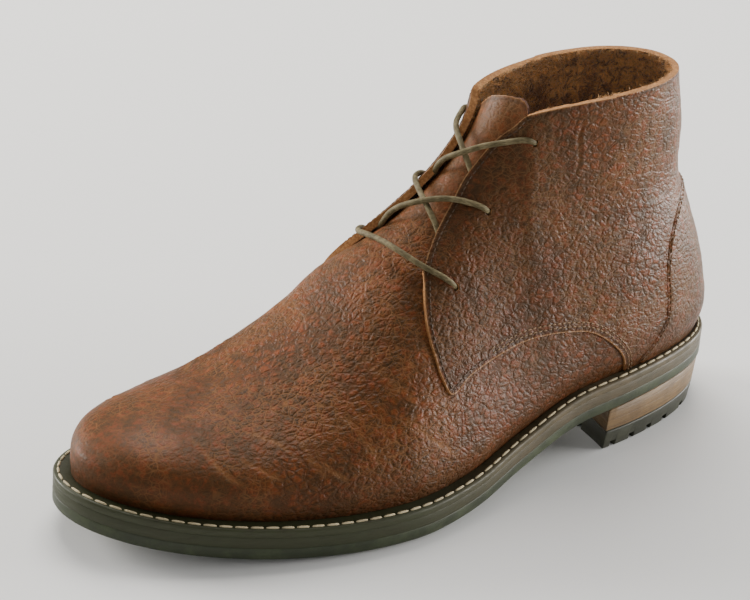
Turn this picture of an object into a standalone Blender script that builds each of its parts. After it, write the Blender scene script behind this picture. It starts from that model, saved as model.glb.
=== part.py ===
"""Chukka boot, left foot: a leather upper on a welted rubber sole with a stacked heel.

World frame, metres: +Z up, toe towards -Y, heel towards +Y, +X is the outer (lateral) side.
The origin is under the middle of the sole, on the floor. Every form comes from the named sizes
and the short tables below. The tables hold shares of the sizes that they follow.
"""
import math
from collections import namedtuple

import bmesh
import bpy
import numpy as np
from mathutils import Vector

# Sole, in plan
SOLE_LENGTH = 0.305
BALL_WIDTH = 0.1065
SWING = 0.0155
MARGIN_TOE = 0.0062
MARGIN_WAIST = 0.0045
MARGIN_HEEL = 0.0048

# Sole, in height
HEEL_HEIGHT = 0.0195
TOE_SPRING = 0.010
OUTSOLE = 0.0048
MIDSOLE = 0.0040
WELT = 0.0032
MIDSOLE_SET_IN = 0.0007
WELT_REACH = 0.0055
GAP = 0.0003
UPPER_GAP = 0.0005

# Forefoot tread
LUG_PROUD = 0.0012
TREAD_DEPTH = 0.0024
TREAD_MARGIN = 0.0105
TREAD_START = 0.47
TREAD_END = 0.80
SIDE_LUGS = 11
TOE_LUGS = 9
LUG_WIDTH = 0.0072
LUG_LENGTH = 0.020
STUD_WIDTH = 0.0036
STUD_TOOTH = BALL_WIDTH * 0.0892
STUD_DEPTH = 0.0050

# Heel
HEEL_LENGTH = 0.079
BREAST_HOLLOW = 0.0050
TOP_PIECE = 0.0085
HEEL_TAPER = 0.0016
HEEL_SET_IN = 0.0005
SLOT_WIDTH = 0.0034
SLOT_DEPTH = 0.0030
SLOT_LENGTH = 0.0225
HEEL_SIDE_SLOTS = 4
HEEL_REAR_SLOTS = 5
HEEL_POCKET_WIDTH = 0.024
CHEVRON = 0.010

# Upper
SHAFT_HEIGHT = 0.1157
INSTEP_HEIGHT = 0.1292
COLLAR_WIDTH = 0.0562
ANKLE_WIDTH = 0.0554
HEEL_WIDTH = 0.0663
BACK_CURVE = 0.0045
FEATHER_BULGE = 0.0030
RIDGE_LEAN = 0.0012
WALL = 0.0020
QUARTER_STEP = 0.0009
BACKSTAY_STEP = 0.0007
THROAT_WIDTH = 0.038
EYELET_BORE = 0.0036
TONGUE_WALL = 0.0018
TONGUE_TUCK = 0.009
TONGUE_CLEARANCE = 0.0009
LACE = 0.0023
LACE_CLEARANCE = 0.0012

Outline = namedtuple("Outline", "station swing width")
OUTLINE = [
    Outline(0.000, 0.00, 0.000),
    Outline(0.050, 0.10, 0.250),
    Outline(0.120, 0.26, 0.322),
    Outline(0.220, 0.54, 0.344),
    Outline(0.330, 0.82, 0.327),
    Outline(0.420, 0.98, 0.350),
    Outline(0.520, 1.00, 0.426),
    Outline(0.620, 0.84, 0.492),
    Outline(0.700, 0.64, 0.500),
    Outline(0.780, 0.45, 0.469),
    Outline(0.860, 0.29, 0.402),
    Outline(0.930, 0.16, 0.303),
    Outline(0.975, 0.08, 0.189),
    Outline(1.000, 0.00, 0.000),
]

Rise = namedtuple("Rise", "station heel spring")
RISE = [
    Rise(0.00, 1.02, 0.00),
    Rise(0.24, 1.00, 0.00),
    Rise(0.32, 0.86, 0.00),
    Rise(0.42, 0.44, 0.00),
    Rise(0.52, 0.10, 0.00),
    Rise(0.60, 0.00, 0.00),
    Rise(0.68, 0.00, 0.00),
    Rise(0.78, 0.00, 0.11),
    Rise(0.88, 0.00, 0.40),
    Rise(1.00, 0.00, 1.00),
]

# The line over the toe and up the instep: station along the last, height as a share of INSTEP_HEIGHT
Ridge = namedtuple("Ridge", "level station height")
RIDGE = [
    Ridge(0.00, 1.000, 0.000),
    Ridge(0.06, 0.998, 0.087),
    Ridge(0.12, 0.985, 0.127),
    Ridge(0.20, 0.955, 0.172),
    Ridge(0.30, 0.900, 0.202),
    Ridge(0.40, 0.830, 0.210),
    Ridge(0.50, 0.755, 0.241),
    Ridge(0.60, 0.648, 0.386),
    Ridge(0.70, 0.576, 0.545),
    Ridge(0.80, 0.498, 0.697),
    Ridge(0.90, 0.431, 0.856),
    Ridge(1.00, 0.392, 1.000),
    Ridge(1.12, 0.380, 1.130),
]

# The heel line: height as a share of SHAFT_HEIGHT, set back as a share of BACK_CURVE
Back = namedtuple("Back", "height setback")
BACK = [
    Back(0.00, 0.00),
    Back(0.08, 0.50),
    Back(0.20, -0.06),
    Back(0.34, -1.24),
    Back(0.50, -2.85),
    Back(0.62, -4.02),
    Back(0.78, -4.26),
    Back(1.00, -5.60),
    Back(1.20, -6.10),
]

# Each quarter's front edge beside the throat: reach from the ridge as a share of THROAT_WIDTH
Throat = namedtuple("Throat", "level reach")
THROAT = [
    Throat(0.720, 0.587),
    Throat(0.784, 0.363),
    Throat(0.823, 0.289),
    Throat(0.864, 0.229),
    Throat(0.893, 0.232),
    Throat(0.932, 0.268),
    Throat(0.980, 0.395),
    Throat(1.030, 0.500),
    Throat(1.110, 0.620),
]
THROAT_BASE = 0.745

# The quarter's edge below the throat, seen from the side: station along the sole, height as a
# share of INSTEP_HEIGHT. It runs down to the tip and back along the arched seam into the welt.
Edge = namedtuple("Edge", "station height")
QUARTER_EDGE = [
    Edge(0.536, 0.544),
    Edge(0.546, 0.492),
    Edge(0.554, 0.428),
    Edge(0.555, 0.361),
    Edge(0.553, 0.301),
    Edge(0.546, 0.255),
    Edge(0.507, 0.283),
    Edge(0.453, 0.307),
    Edge(0.395, 0.323),
    Edge(0.339, 0.316),
    Edge(0.295, 0.293),
    Edge(0.262, 0.244),
    Edge(0.236, 0.174),
    Edge(0.224, 0.080),
]

# The backstay's front edge, seen from the side: height as a share of SHAFT_HEIGHT
BACKSTAY_EDGE = [
    Edge(0.060, 0.590),
    Edge(0.100, 0.541),
    Edge(0.135, 0.463),
    Edge(0.152, 0.371),
    Edge(0.156, 0.298),
    Edge(0.154, 0.221),
    Edge(0.156, 0.159),
    Edge(0.172, 0.099),
    Edge(0.200, 0.030),
]

# Eyelets: reach from the ridge as a share of THROAT_WIDTH
EYELETS = [
    Throat(0.746, 0.753),
    Throat(0.845, 0.503),
    Throat(0.957, 0.534),
]

# Zigzag studs down the middle of the tread
Stud = namedtuple("Stud", "station teeth")
STUDS = [
    Stud(0.520, 2),
    Stud(0.592, 3),
    Stud(0.664, 4),
    Stud(0.736, 3),
    Stud(0.808, 2),
]

SIDE_POINTS = 24
LEVELS = [0, 0.03, 0.07, 0.12, 0.18, 0.26, 0.35, 0.44, 0.53, 0.61, 0.69, 0.76, 0.82, 0.88, 0.94, 1.0]
SOLE_ROWS = 42


def column(rows, name):
    """One named column of a table."""
    return np.array([getattr(row, name) for row in rows], float)


def smooth_curve(xs, ys, at):
    """A smooth curve through the rows of a table."""
    at = np.asarray(at, float)
    step = np.diff(xs)
    slope = np.diff(ys) / step
    tangent = np.empty(len(ys))
    tangent[1:-1] = (slope[:-1] * step[1:] + slope[1:] * step[:-1]) / (step[:-1] + step[1:])
    tangent[0] = slope[0] * 1.5 - tangent[1] * 0.5
    tangent[-1] = slope[-1] * 1.5 - tangent[-2] * 0.5
    row = np.clip(np.searchsorted(xs, at) - 1, 0, len(xs) - 2)
    t = (at - xs[row]) / step[row]
    low = (2 * t**3 - 3 * t**2 + 1) * ys[row] + (t**3 - 2 * t**2 + t) * step[row] * tangent[row]
    high = (-2 * t**3 + 3 * t**2) * ys[row + 1] + (t**3 - t**2) * step[row] * tangent[row + 1]
    return low + high


def from_table(rows, key, value, at):
    return smooth_curve(column(rows, key), column(rows, value), at)


def ease(share):
    share = np.clip(share, 0, 1)
    return share * share * (3 - 2 * share)


def station_y(station):
    """Stations run from 0 at the heel end of the sole to 1 at the toe."""
    return SOLE_LENGTH * (0.5 - np.asarray(station, float))


def margin(station):
    """How far the upper stands in from the edge of the sole."""
    marks = np.array([0, 0.15, 0.33, 0.60, 1.0])
    widths = np.array([MARGIN_HEEL, MARGIN_HEEL, MARGIN_WAIST, MARGIN_TOE, MARGIN_TOE])
    return smooth_curve(marks, widths, station)


def dense_outline():
    """The sole's outline: y, outer x and inner x at many turns from the heel to the toe."""
    turn = np.linspace(0, math.pi, 721)
    marks = np.arccos(1 - 2 * column(OUTLINE, "station"))
    centre = SWING * smooth_curve(marks, column(OUTLINE, "swing"), turn)
    half = BALL_WIDTH * smooth_curve(marks, column(OUTLINE, "width"), turn)
    middle = ((centre + half).max() + (centre - half).min()) / 2
    return SOLE_LENGTH * np.cos(turn) / 2, centre + half - middle, centre - half - middle


OUTLINE_Y, OUTLINE_OUTER, OUTLINE_INNER = dense_outline()
AXIS_X = OUTLINE_OUTER[0]


def inset_outline(inset):
    """The outline moved inwards along its own normals. inset is a number or follows the station."""
    loop = np.concatenate([
        np.stack([OUTLINE_OUTER, OUTLINE_Y], 1),
        np.stack([OUTLINE_INNER, OUTLINE_Y], 1)[-2:0:-1],
    ])
    along = np.roll(loop, -1, 0) - np.roll(loop, 1, 0)
    inward = np.stack([along[:, 1], -along[:, 0]], 1)
    inward /= np.linalg.norm(inward, axis=1)[:, None]
    if inward[loop[:, 0].argmax(), 0] > 0:
        inward = -inward
    depth = inset(0.5 - loop[:, 1] / SOLE_LENGTH) if callable(inset) else inset
    moved = loop + inward * np.broadcast_to(depth, len(loop))[:, None]
    count = len(OUTLINE_Y)
    outer = moved[:count]
    inner = np.concatenate([moved[count - 1:], moved[:1]])[::-1]
    return outer, inner


def edge_rows(inset, first=0.0, last=1.0, count=SOLE_ROWS):
    """Rows across the sole between two stations: y, outer x, inner x."""
    outer, inner = inset_outline(inset)
    heel, toe = outer[0, 1], outer[-1, 1]
    start = math.acos(1 - 2 * np.clip((heel - station_y(first)) / (heel - toe), 0, 1))
    end = math.acos(1 - 2 * np.clip((heel - station_y(last)) / (heel - toe), 0, 1))
    y = heel + (toe - heel) * (1 - np.cos(np.linspace(start, end, count))) / 2
    outer = outer[np.argsort(outer[:, 1])]
    inner = inner[np.argsort(inner[:, 1])]
    return y, np.interp(y, outer[:, 1], outer[:, 0]), np.interp(y, inner[:, 1], inner[:, 0])


FEATHER_Y, FEATHER_OUTER, FEATHER_INNER = edge_rows(margin, count=721)
LAST_HEEL, LAST_TOE = FEATHER_Y[0], FEATHER_Y[-1]


def feather(y):
    """Centre and half width of the line where the upper meets the welt."""
    outer = np.interp(-y, -FEATHER_Y, FEATHER_OUTER)
    inner = np.interp(-y, -FEATHER_Y, FEATHER_INNER)
    return (outer + inner) / 2, (outer - inner) / 2


def sole_underside(y):
    station = np.clip(0.5 - np.asarray(y, float) / SOLE_LENGTH, 0, 1)
    heel = np.maximum(from_table(RISE, "station", "heel", station), 0)
    spring = np.maximum(from_table(RISE, "station", "spring", station), 0)
    return LUG_PROUD + (HEEL_HEIGHT - LUG_PROUD) * heel + TOE_SPRING * spring


def midsole_low(y):
    return sole_underside(y) + OUTSOLE + GAP


def midsole_top(y):
    return midsole_low(y) + MIDSOLE


def welt_low(y):
    return midsole_top(y) + GAP


def welt_top(y):
    return welt_low(y) + WELT


def ridge_line(level):
    """The upper's centre line over the toe and instep: y and z."""
    station = from_table(RIDGE, "level", "station", level)
    height = from_table(RIDGE, "level", "height", level)
    y = LAST_HEEL + (LAST_TOE - LAST_HEEL) * station
    waist, toe = welt_top(0.0), welt_top(LAST_TOE)
    drop = np.clip(1 - np.asarray(level) / 0.35, 0, 1) ** 1.5
    return y, waist + INSTEP_HEIGHT * height + (toe - waist) * drop


def setback(z):
    height = np.clip((z - welt_top(LAST_HEEL)) / SHAFT_HEIGHT, 0, 1.2)
    return BACK_CURVE * from_table(BACK, "height", "setback", height)


def heel_line(level):
    """The upper's centre line up the heel: y and z."""
    z = welt_top(LAST_HEEL) + SHAFT_HEIGHT * np.asarray(level, float)
    return LAST_HEEL + setback(z), z


def ridge_height(y):
    """The top of the form over a place on the foot. Behind the collar it runs on up the shin."""
    line_y, line_z = ridge_line(np.linspace(0, 1.12, 200))
    shin_y = line_y[-1] + np.array([0.1, 0.24, 1.0]) * SOLE_LENGTH
    shin_z = line_z[-1] + np.array([0.42, 1.25, 6.0]) * INSTEP_HEIGHT
    return np.interp(y, np.append(line_y, shin_y), np.append(line_z, shin_z))


def last_section(y, z):
    """Centre and half width of the last at a place and height."""
    share = (y - LAST_HEEL - setback(z)) / (LAST_TOE - LAST_HEEL)
    foot_y = np.clip(y - setback(z) * np.clip(1 - share / 0.45, 0, 1), LAST_TOE, LAST_HEEL)
    foot_centre, foot_half = feather(foot_y)
    floor = welt_top(foot_y)
    top = ridge_height(y)
    share = (foot_y - LAST_HEEL) / (LAST_TOE - LAST_HEEL)
    end_cap = np.sqrt(np.clip(1 - (2 * share - 1) ** 2, 0, 1))
    widest = 4 * FEATHER_BULGE + 2.7 * FEATHER_BULGE * np.clip(1 - share / 0.4, 0, 1)
    rise = np.clip(np.maximum(z - floor, 0) / widest, 0, 1)
    low = foot_half + FEATHER_BULGE * np.sin(rise * math.pi / 2) * np.minimum(end_cap * 2, 1)
    height = np.clip((z - welt_top(LAST_HEEL)) / SHAFT_HEIGHT, 0, 1.3)
    marks = np.array([0, 0.3, 0.6, 1.0, 1.3])
    widths = np.array([HEEL_WIDTH, HEEL_WIDTH, ANKLE_WIDTH, COLLAR_WIDTH, COLLAR_WIDTH * 1.03]) / 2
    back_cap = (1 - (1 - np.clip(share / 0.22, 0, 1)) ** 2.4) ** (1 / 2.1)
    high = smooth_curve(marks, widths, height) * back_cap
    blend = ease((height - 0.1) / 0.55) * ease((0.62 - share) / 0.30)
    half = low * (1 - blend) + high * blend
    shoulder = floor + widest * np.clip((top - floor) / (10 * FEATHER_BULGE), 0, 1)
    crown = np.clip((z - shoulder) / np.maximum(top - shoulder, 1e-5), 0, 1)
    half = half * (1 - crown ** 2.3) ** 0.5
    lean = ease((z - floor) / np.clip(top - floor, 1e-4, 20 * FEATHER_BULGE))
    top_centre = AXIS_X + RIDGE_LEAN * ease((1 - share) / 0.3)
    return foot_centre * (1 - lean) + top_centre * lean, half


def last_ring(level):
    """One closed ring of the last's surface: heel, outer side, front, inner side."""
    heel_y, heel_z = heel_line(level)
    front_y, front_z = ridge_line(level)
    share = (1 - np.cos(np.linspace(0, math.pi, SIDE_POINTS))) / 2
    y = heel_y + (front_y - heel_y) * share
    z = heel_z + (front_z - heel_z) * share
    foot_y = LAST_HEEL + (LAST_TOE - LAST_HEEL) * share
    straight = welt_top(LAST_HEEL) + (welt_top(LAST_TOE) - welt_top(LAST_HEEL)) * share
    z = z + np.clip(1 - level, 0, 1) ** 1.6 * (welt_top(foot_y) - straight)
    centre, half = last_section(y, z)
    half[0] = 0
    half[-1] = 0
    outer = np.stack([centre + half, y, z], 1)
    inner = np.stack([centre - half, y, z], 1)
    return np.concatenate([outer, inner[-2:0:-1]])


def last_rings(levels):
    return np.array([last_ring(level) for level in levels])


def ring_normals(rings):
    around = np.roll(rings, -1, 1) - np.roll(rings, 1, 1)
    up = np.gradient(rings, axis=0)
    normals = np.cross(up, around)
    normals[0, :, 2] = 0
    normals /= np.linalg.norm(normals, axis=2, keepdims=True)
    return normals


def offset_rings(rings, depth):
    """The rings moved into the last by depth, or out of it where depth is negative."""
    moved = rings - ring_normals(rings) * depth
    moved[0, :, 2] = welt_top(moved[0, :, 1]) + UPPER_GAP
    return moved


# Blender helpers

def clear_scene():
    for item in list(bpy.data.objects):
        bpy.data.objects.remove(item, do_unlink=True)
    for item in list(bpy.data.collections):
        bpy.data.collections.remove(item)


def make_collection(name):
    group = bpy.data.collections.new(name)
    bpy.context.scene.collection.children.link(group)
    return group


def make_material(name, colour, roughness):
    material = bpy.data.materials.new(name)
    material.use_nodes = True
    shader = material.node_tree.nodes["Principled BSDF"]
    shader.inputs["Base Color"].default_value = (*colour, 1.0)
    shader.inputs["Roughness"].default_value = roughness
    return material


def tidy_mesh(mesh, split=False):
    """Merge points that coincide and turn the faces outwards. At the end, split into triangles."""
    work = bmesh.new()
    work.from_mesh(mesh)
    bmesh.ops.remove_doubles(work, verts=work.verts, dist=0.000005)
    if split:
        bmesh.ops.triangulate(work, faces=work.faces)
    bmesh.ops.recalc_face_normals(work, faces=work.faces)
    work.to_mesh(mesh)
    work.free()


def make_object(name, verts, faces, group):
    mesh = bpy.data.meshes.new(name)
    mesh.from_pydata([tuple(map(float, v)) for v in verts], [], faces)
    tidy_mesh(mesh)
    item = bpy.data.objects.new(name, mesh)
    group.objects.link(item)
    return item


def cutter(name, verts, faces):
    item = make_object(name, verts, faces, cutters)
    item.hide_render = True
    item.display_type = "WIRE"
    return item


def boolean(target, tool, operation, crossing=False):
    """Apply one exact Boolean to the target's mesh. crossing is for a tool whose parts overlap."""
    modifier = target.modifiers.new(operation.title(), "BOOLEAN")
    modifier.operation = operation
    modifier.solver = "EXACT"
    modifier.use_self = crossing
    modifier.object = tool
    bpy.context.view_layer.update()
    graph = bpy.context.evaluated_depsgraph_get()
    mesh = bpy.data.meshes.new_from_object(target.evaluated_get(graph))
    target.modifiers.clear()
    target.data = mesh
    tidy_mesh(mesh)


def closed_band(loops):
    """Points and faces of a solid whose section is a closed row of loops."""
    loops = np.asarray(loops)
    rows, count = loops.shape[:2]
    faces = []
    for row in range(rows):
        after = (row + 1) % rows
        for k in range(count):
            n = (k + 1) % count
            faces.append((row * count + k, row * count + n, after * count + n, after * count + k))
    return loops.reshape(-1, 3), faces


def strip_solid(lows, tops):
    """Points and faces of a plate. lows and tops each hold rows of (outer point, inner point)."""
    rows = len(lows)
    verts = np.concatenate([np.asarray(lows).reshape(-1, 3), np.asarray(tops).reshape(-1, 3)])
    shift = 2 * rows
    faces = [(0, 1, shift + 1, shift), (shift - 2, shift - 1, 2 * shift - 1, 2 * shift - 2)]
    for row in range(rows - 1):
        a, b, c, d = 2 * row, 2 * row + 1, 2 * row + 2, 2 * row + 3
        faces += [(a, b, d, c), (a + shift, b + shift, d + shift, c + shift)]
        faces += [(a, c, c + shift, a + shift), (b, d, d + shift, b + shift)]
    return verts, faces


def plate_rows(inset, height, first=0.0, last=1.0, count=SOLE_ROWS):
    y, outer, inner = edge_rows(inset, first, last, count)
    z = height(y) if callable(height) else np.full(len(y), height)
    return np.stack([np.stack([outer, y, z], 1), np.stack([inner, y, z], 1)], 1)


def prism(points, low, top):
    """Points and faces of a plan polygon between two heights, each a number or a function of y."""
    count = len(points)
    verts = []
    for height in (low, top):
        verts += [(x, y, height(y) if callable(height) else height) for x, y in points]
    faces = [tuple(range(count)), tuple(range(count, 2 * count))]
    for k in range(count):
        n = (k + 1) % count
        faces.append((k, n, count + n, count + k))
    return verts, faces


def join_prisms(shapes):
    verts, faces = [], []
    for some_verts, some_faces in shapes:
        shift = len(verts)
        verts += list(some_verts)
        faces += [tuple(k + shift for k in face) for face in some_faces]
    return verts, faces


def side_prism(points):
    """A cutter with the given side view (y, z) that runs right through the boot."""
    reach = SOLE_LENGTH / 2
    count = len(points)
    verts = [(-reach, y, z) for y, z in points] + [(reach, y, z) for y, z in points]
    faces = [tuple(range(count)), tuple(range(count, 2 * count))]
    for k in range(count):
        n = (k + 1) % count
        faces.append((k, n, count + n, count + k))
    return verts, faces


# Sole

def breast_cutter():
    """The round hollow of the heel breast, as an upright cylinder in front of the heel."""
    y = float(station_y(HEEL_LENGTH / SOLE_LENGTH))
    _, outer, inner = edge_rows(0.0, HEEL_LENGTH / SOLE_LENGTH, 0.5, 2)
    half = (outer[0] - inner[0]) / 2
    radius = (half**2 + BREAST_HOLLOW**2) / (2 * BREAST_HOLLOW)
    centre = (outer[0] + inner[0]) / 2
    bpy.ops.mesh.primitive_cylinder_add(
        vertices=160, radius=radius, depth=4 * HEEL_HEIGHT,
        location=(centre, y + BREAST_HOLLOW - radius, HEEL_HEIGHT))
    item = bpy.context.object
    item.name = "breast_cutter"
    for group in list(item.users_collection):
        group.objects.unlink(item)
    cutters.objects.link(item)
    item.hide_render = True
    item.display_type = "WIRE"
    return item


def radial_bars(inset, spine_from, spine_to, first, sides, ends, length, width, taper):
    """Plan outlines of bars that start on the inset outline and point at a spine.

    There are sides bars along each long side and ends bars round the end."""
    toe_end = spine_to > spine_from
    start, stop = (first, 1.0) if toe_end else (0.0, first)
    y, outer, inner = edge_rows(inset, start, stop, 400)
    side = y > station_y(spine_to) if toe_end else y < station_y(spine_to)
    bars = []
    for x_line, sign in ((outer, 1), (inner, -1)):
        marks = np.linspace(station_y(first), station_y(spine_to), sides + 1)
        for mark in (marks[:-1] + marks[1:]) / 2:
            x = float(np.interp(-mark, -y, x_line))
            centre = float(np.interp(-mark, -y, (outer + inner) / 2))
            bars.append((np.array([x, mark]), np.array([centre, mark])))
    end_outer = np.stack([outer[~side], y[~side]], 1)
    end_inner = np.stack([inner[~side], y[~side]], 1)
    if not toe_end:
        end_outer, end_inner = end_outer[::-1], end_inner[::-1]
    end = np.concatenate([end_outer, end_inner[::-1]])
    run = np.append(0, np.cumsum(np.linalg.norm(np.diff(end, axis=0), axis=1)))
    marks = np.linspace(0, run[-1], ends + 1)
    middle = float(np.interp(-station_y(spine_to), -y, (outer + inner) / 2))
    for mark in (marks[:-1] + marks[1:]) / 2:
        point = np.array([np.interp(mark, run, end[:, 0]), np.interp(mark, run, end[:, 1])])
        bars.append((point, np.array([middle, float(station_y(spine_to))])))
    shapes = []
    for start, target in bars:
        along = (target - start) / np.linalg.norm(target - start)
        across = np.array([-along[1], along[0]]) * width / 2
        reach = min(length, 0.72 * np.linalg.norm(target - start))
        stop = start + along * reach
        narrow = taper if abs(along[1]) > 0.2 else 1.0
        shapes.append([start + across, start - across, stop - across * narrow, stop + across * narrow])
    return shapes


def zigzag(station, teeth):
    """Plan outline of one zigzag stud across the sole."""
    y = float(station_y(station))
    _, outer, inner = edge_rows(0.0, station, 1.0, 2)
    middle = (outer[0] + inner[0]) / 2
    xs = middle + (np.arange(teeth + 1) - teeth / 2) * STUD_TOOTH
    ys = y + np.where(np.arange(teeth + 1) % 2 == 0, -1, 1) * STUD_DEPTH / 2
    back = [(x, v + STUD_WIDTH / 2) for x, v in zip(xs, ys)]
    front = [(x, v - STUD_WIDTH / 2) for x, v in zip(xs, ys)]
    return back + front[::-1]


def build_outsole(group):
    low = plate_rows(0.0, sole_underside)
    top = plate_rows(0.0, lambda y: sole_underside(y) + OUTSOLE)
    item = make_object("outsole", *strip_solid(low, top), group)
    field_low = plate_rows(TREAD_MARGIN, lambda y: sole_underside(y) - 2 * LUG_PROUD, TREAD_START, 1.0)
    field_top = plate_rows(TREAD_MARGIN, lambda y: sole_underside(y) + TREAD_DEPTH, TREAD_START, 1.0)
    boolean(item, cutter("tread_cutter", *strip_solid(field_low, field_top)), "DIFFERENCE")
    lugs = radial_bars(TREAD_MARGIN - LUG_PROUD, TREAD_START, TREAD_END, TREAD_START,
                       SIDE_LUGS, TOE_LUGS, LUG_LENGTH, LUG_WIDTH, 0.55)

    def floor(y):
        return sole_underside(y) - LUG_PROUD

    def root(y):
        return sole_underside(y) + TREAD_DEPTH + (OUTSOLE - TREAD_DEPTH) / 2

    def stud_floor(y):
        return sole_underside(y) - LUG_PROUD * 0.6

    shapes = [prism(points, floor, root) for points in lugs]
    boolean(item, cutter("tread_lugs", *join_prisms(shapes)), "UNION", crossing=True)
    shapes = [prism(zigzag(row.station, row.teeth), stud_floor, root) for row in STUDS]
    boolean(item, cutter("tread_studs", *join_prisms(shapes)), "UNION")
    return item


def build_plates(group):
    low = plate_rows(MIDSOLE_SET_IN, midsole_low)
    top = plate_rows(MIDSOLE_SET_IN, midsole_top)
    midsole = make_object("midsole", *strip_solid(low, top), group)

    def loop(inset, height):
        rows = plate_rows(inset, height)
        return np.concatenate([rows[:, 0], rows[-2:0:-1, 1]])

    def welt_inner(station):
        return margin(station) + WELT_REACH

    def insole_edge(station):
        return margin(station) + WELT_REACH + GAP

    loops = [loop(0.0, welt_low), loop(0.0, welt_top)]
    loops += [loop(welt_inner, welt_top), loop(welt_inner, welt_low)]
    welt = make_object("welt", *closed_band(loops), group)
    low = plate_rows(insole_edge, welt_low)
    top = plate_rows(insole_edge, welt_top)
    insole = make_object("insole", *strip_solid(low, top), group)
    return midsole, welt, insole


def build_heel(group):
    length = (HEEL_LENGTH + BREAST_HOLLOW) / SOLE_LENGTH
    block_low = TOP_PIECE + GAP
    split = HEEL_SET_IN + HEEL_TAPER * 0.5
    rows = SOLE_ROWS // 2
    low = plate_rows(split, block_low, 0.0, length, rows)
    top = plate_rows(HEEL_SET_IN, lambda y: sole_underside(y) - GAP, 0.0, length, rows)
    block = make_object("heel_block", *strip_solid(low, top), group)
    low = plate_rows(HEEL_SET_IN + HEEL_TAPER, 0.0, 0.0, length, rows)
    top = plate_rows(split, TOP_PIECE, 0.0, length, rows)
    piece = make_object("heel_top_piece", *strip_solid(low, top), group)
    hollow = breast_cutter()
    boolean(block, hollow, "DIFFERENCE")
    boolean(piece, hollow, "DIFFERENCE")

    centre_station = HEEL_LENGTH / SOLE_LENGTH * 0.42
    slots = radial_bars(-SLOT_WIDTH, HEEL_LENGTH / SOLE_LENGTH, centre_station, HEEL_LENGTH / SOLE_LENGTH,
                        HEEL_SIDE_SLOTS, HEEL_REAR_SLOTS, SLOT_LENGTH + SLOT_WIDTH, SLOT_WIDTH, 0.8)
    shapes = [prism(points, -SLOT_DEPTH, SLOT_DEPTH) for points in slots]
    boolean(piece, cutter("slot_cutters", *join_prisms(shapes)), "DIFFERENCE")
    y_front = float(station_y(HEEL_LENGTH / SOLE_LENGTH * 0.86))
    y_back = float(station_y(centre_station * 0.66))
    _, outer, inner = edge_rows(0.0, HEEL_LENGTH / SOLE_LENGTH * 0.6, 0.5, 2)
    middle = (outer[0] + inner[0]) / 2
    half = HEEL_POCKET_WIDTH / 2
    box = [(middle - half, y_front), (middle + half, y_front), (middle + half * 0.8, y_back),
           (middle - half * 0.8, y_back)]
    boolean(piece, cutter("heel_pocket", *prism(box, -SLOT_DEPTH, SLOT_DEPTH * 0.8)), "DIFFERENCE")
    chevrons = []
    for share in (0.32, 0.72):
        y = y_front + (y_back - y_front) * share
        arm = CHEVRON / 2
        thick = STUD_WIDTH / 2
        wing = y + arm * 0.7
        outline = [(middle - arm, wing + thick), (middle, y + thick), (middle + arm, wing + thick),
                   (middle + arm, wing - thick), (middle, y - thick), (middle - arm, wing - thick)]
        chevrons.append(prism(outline, GAP, SLOT_DEPTH))
    boolean(piece, cutter("heel_chevrons", *join_prisms(chevrons)), "UNION")
    return block, piece


# Upper

def ridge_frame(level):
    """A point on the ridge with the directions along it and out of it."""
    here = np.array(ridge_line(level))
    ahead = np.array(ridge_line(level + 0.01))
    behind = np.array(ridge_line(level - 0.01))
    along = (ahead - behind) / np.linalg.norm(ahead - behind)
    out = np.array([-along[1], along[0]])
    centre, _ = last_section(here[0], here[1])
    return float(centre), here, along, out


def throat_reach(level):
    return THROAT_WIDTH * from_table(THROAT, "level", "reach", level)


def on_last(level, reach, side, lift):
    """A point on the last beside the ridge, reach away from it, lifted off the surface."""
    centre, here, _, out = ridge_frame(level)
    depths = np.linspace(0, 0.035, 400)
    y = here[0] - out[0] * depths
    z = here[1] - out[1] * depths
    middle, half = last_section(y, z)
    side_x = (middle + half - centre) if side > 0 else (centre - middle + half)
    k = int(np.argmax(side_x >= reach)) if (side_x >= reach).any() else len(depths) - 1
    k = max(k, 1)
    gone = np.gradient(side_x, depths)[k]
    slope = np.array([side, 0.0, 0.0]) + np.array([0, out[0], out[1]]) * max(gone, 0.0)
    slope /= np.linalg.norm(slope)
    point = np.array([centre + side * min(reach, side_x[k]), y[k], z[k]])
    return point + slope * lift, slope


def throat_cutter(name, first, last, count, wider):
    """A slot with the throat's width, square to the ridge and open outwards."""
    lows, tops = [], []
    for level in np.linspace(first, last, count):
        centre, here, _, out = ridge_frame(level)
        reach = float(throat_reach(level)) + wider
        top = here + out * INSTEP_HEIGHT * 0.12
        low = here - out * INSTEP_HEIGHT * 0.24
        tops.append([(centre + reach, *top), (centre - reach, *top)])
        lows.append([(centre + reach, *low), (centre - reach, *low)])
    return cutter(name, *strip_solid(lows, tops))


def quarter_cutter():
    """The side view of all that lies in front of and under the quarters."""
    base = float(welt_top(0.0))
    edge = [(float(station_y(row.station)), base + INSTEP_HEIGHT * row.height) for row in QUARTER_EDGE]
    _, _, _, out = ridge_frame(THROAT[0].level)
    first = np.array(edge[0]) + out * INSTEP_HEIGHT * 0.5
    front, under = -SOLE_LENGTH, -INSTEP_HEIGHT
    points = [tuple(first)] + edge + [(edge[-1][0], under), (front, under), (front, first[1])]
    return cutter("quarter_cutter", *side_prism(points))


def backstay_block():
    """The side view of the backstay, out past the heel."""
    base = float(welt_top(LAST_HEEL))
    edge = [(float(station_y(row.station)), base + SHAFT_HEIGHT * row.height) for row in BACKSTAY_EDGE]
    rear = SOLE_LENGTH
    head = base + SHAFT_HEIGHT * (BACKSTAY_EDGE[0].height + 0.02)
    points = [(rear, head)] + edge + [(edge[-1][0], -INSTEP_HEIGHT), (rear, -INSTEP_HEIGHT)]
    return cutter("backstay_block", *side_prism(points))


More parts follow.
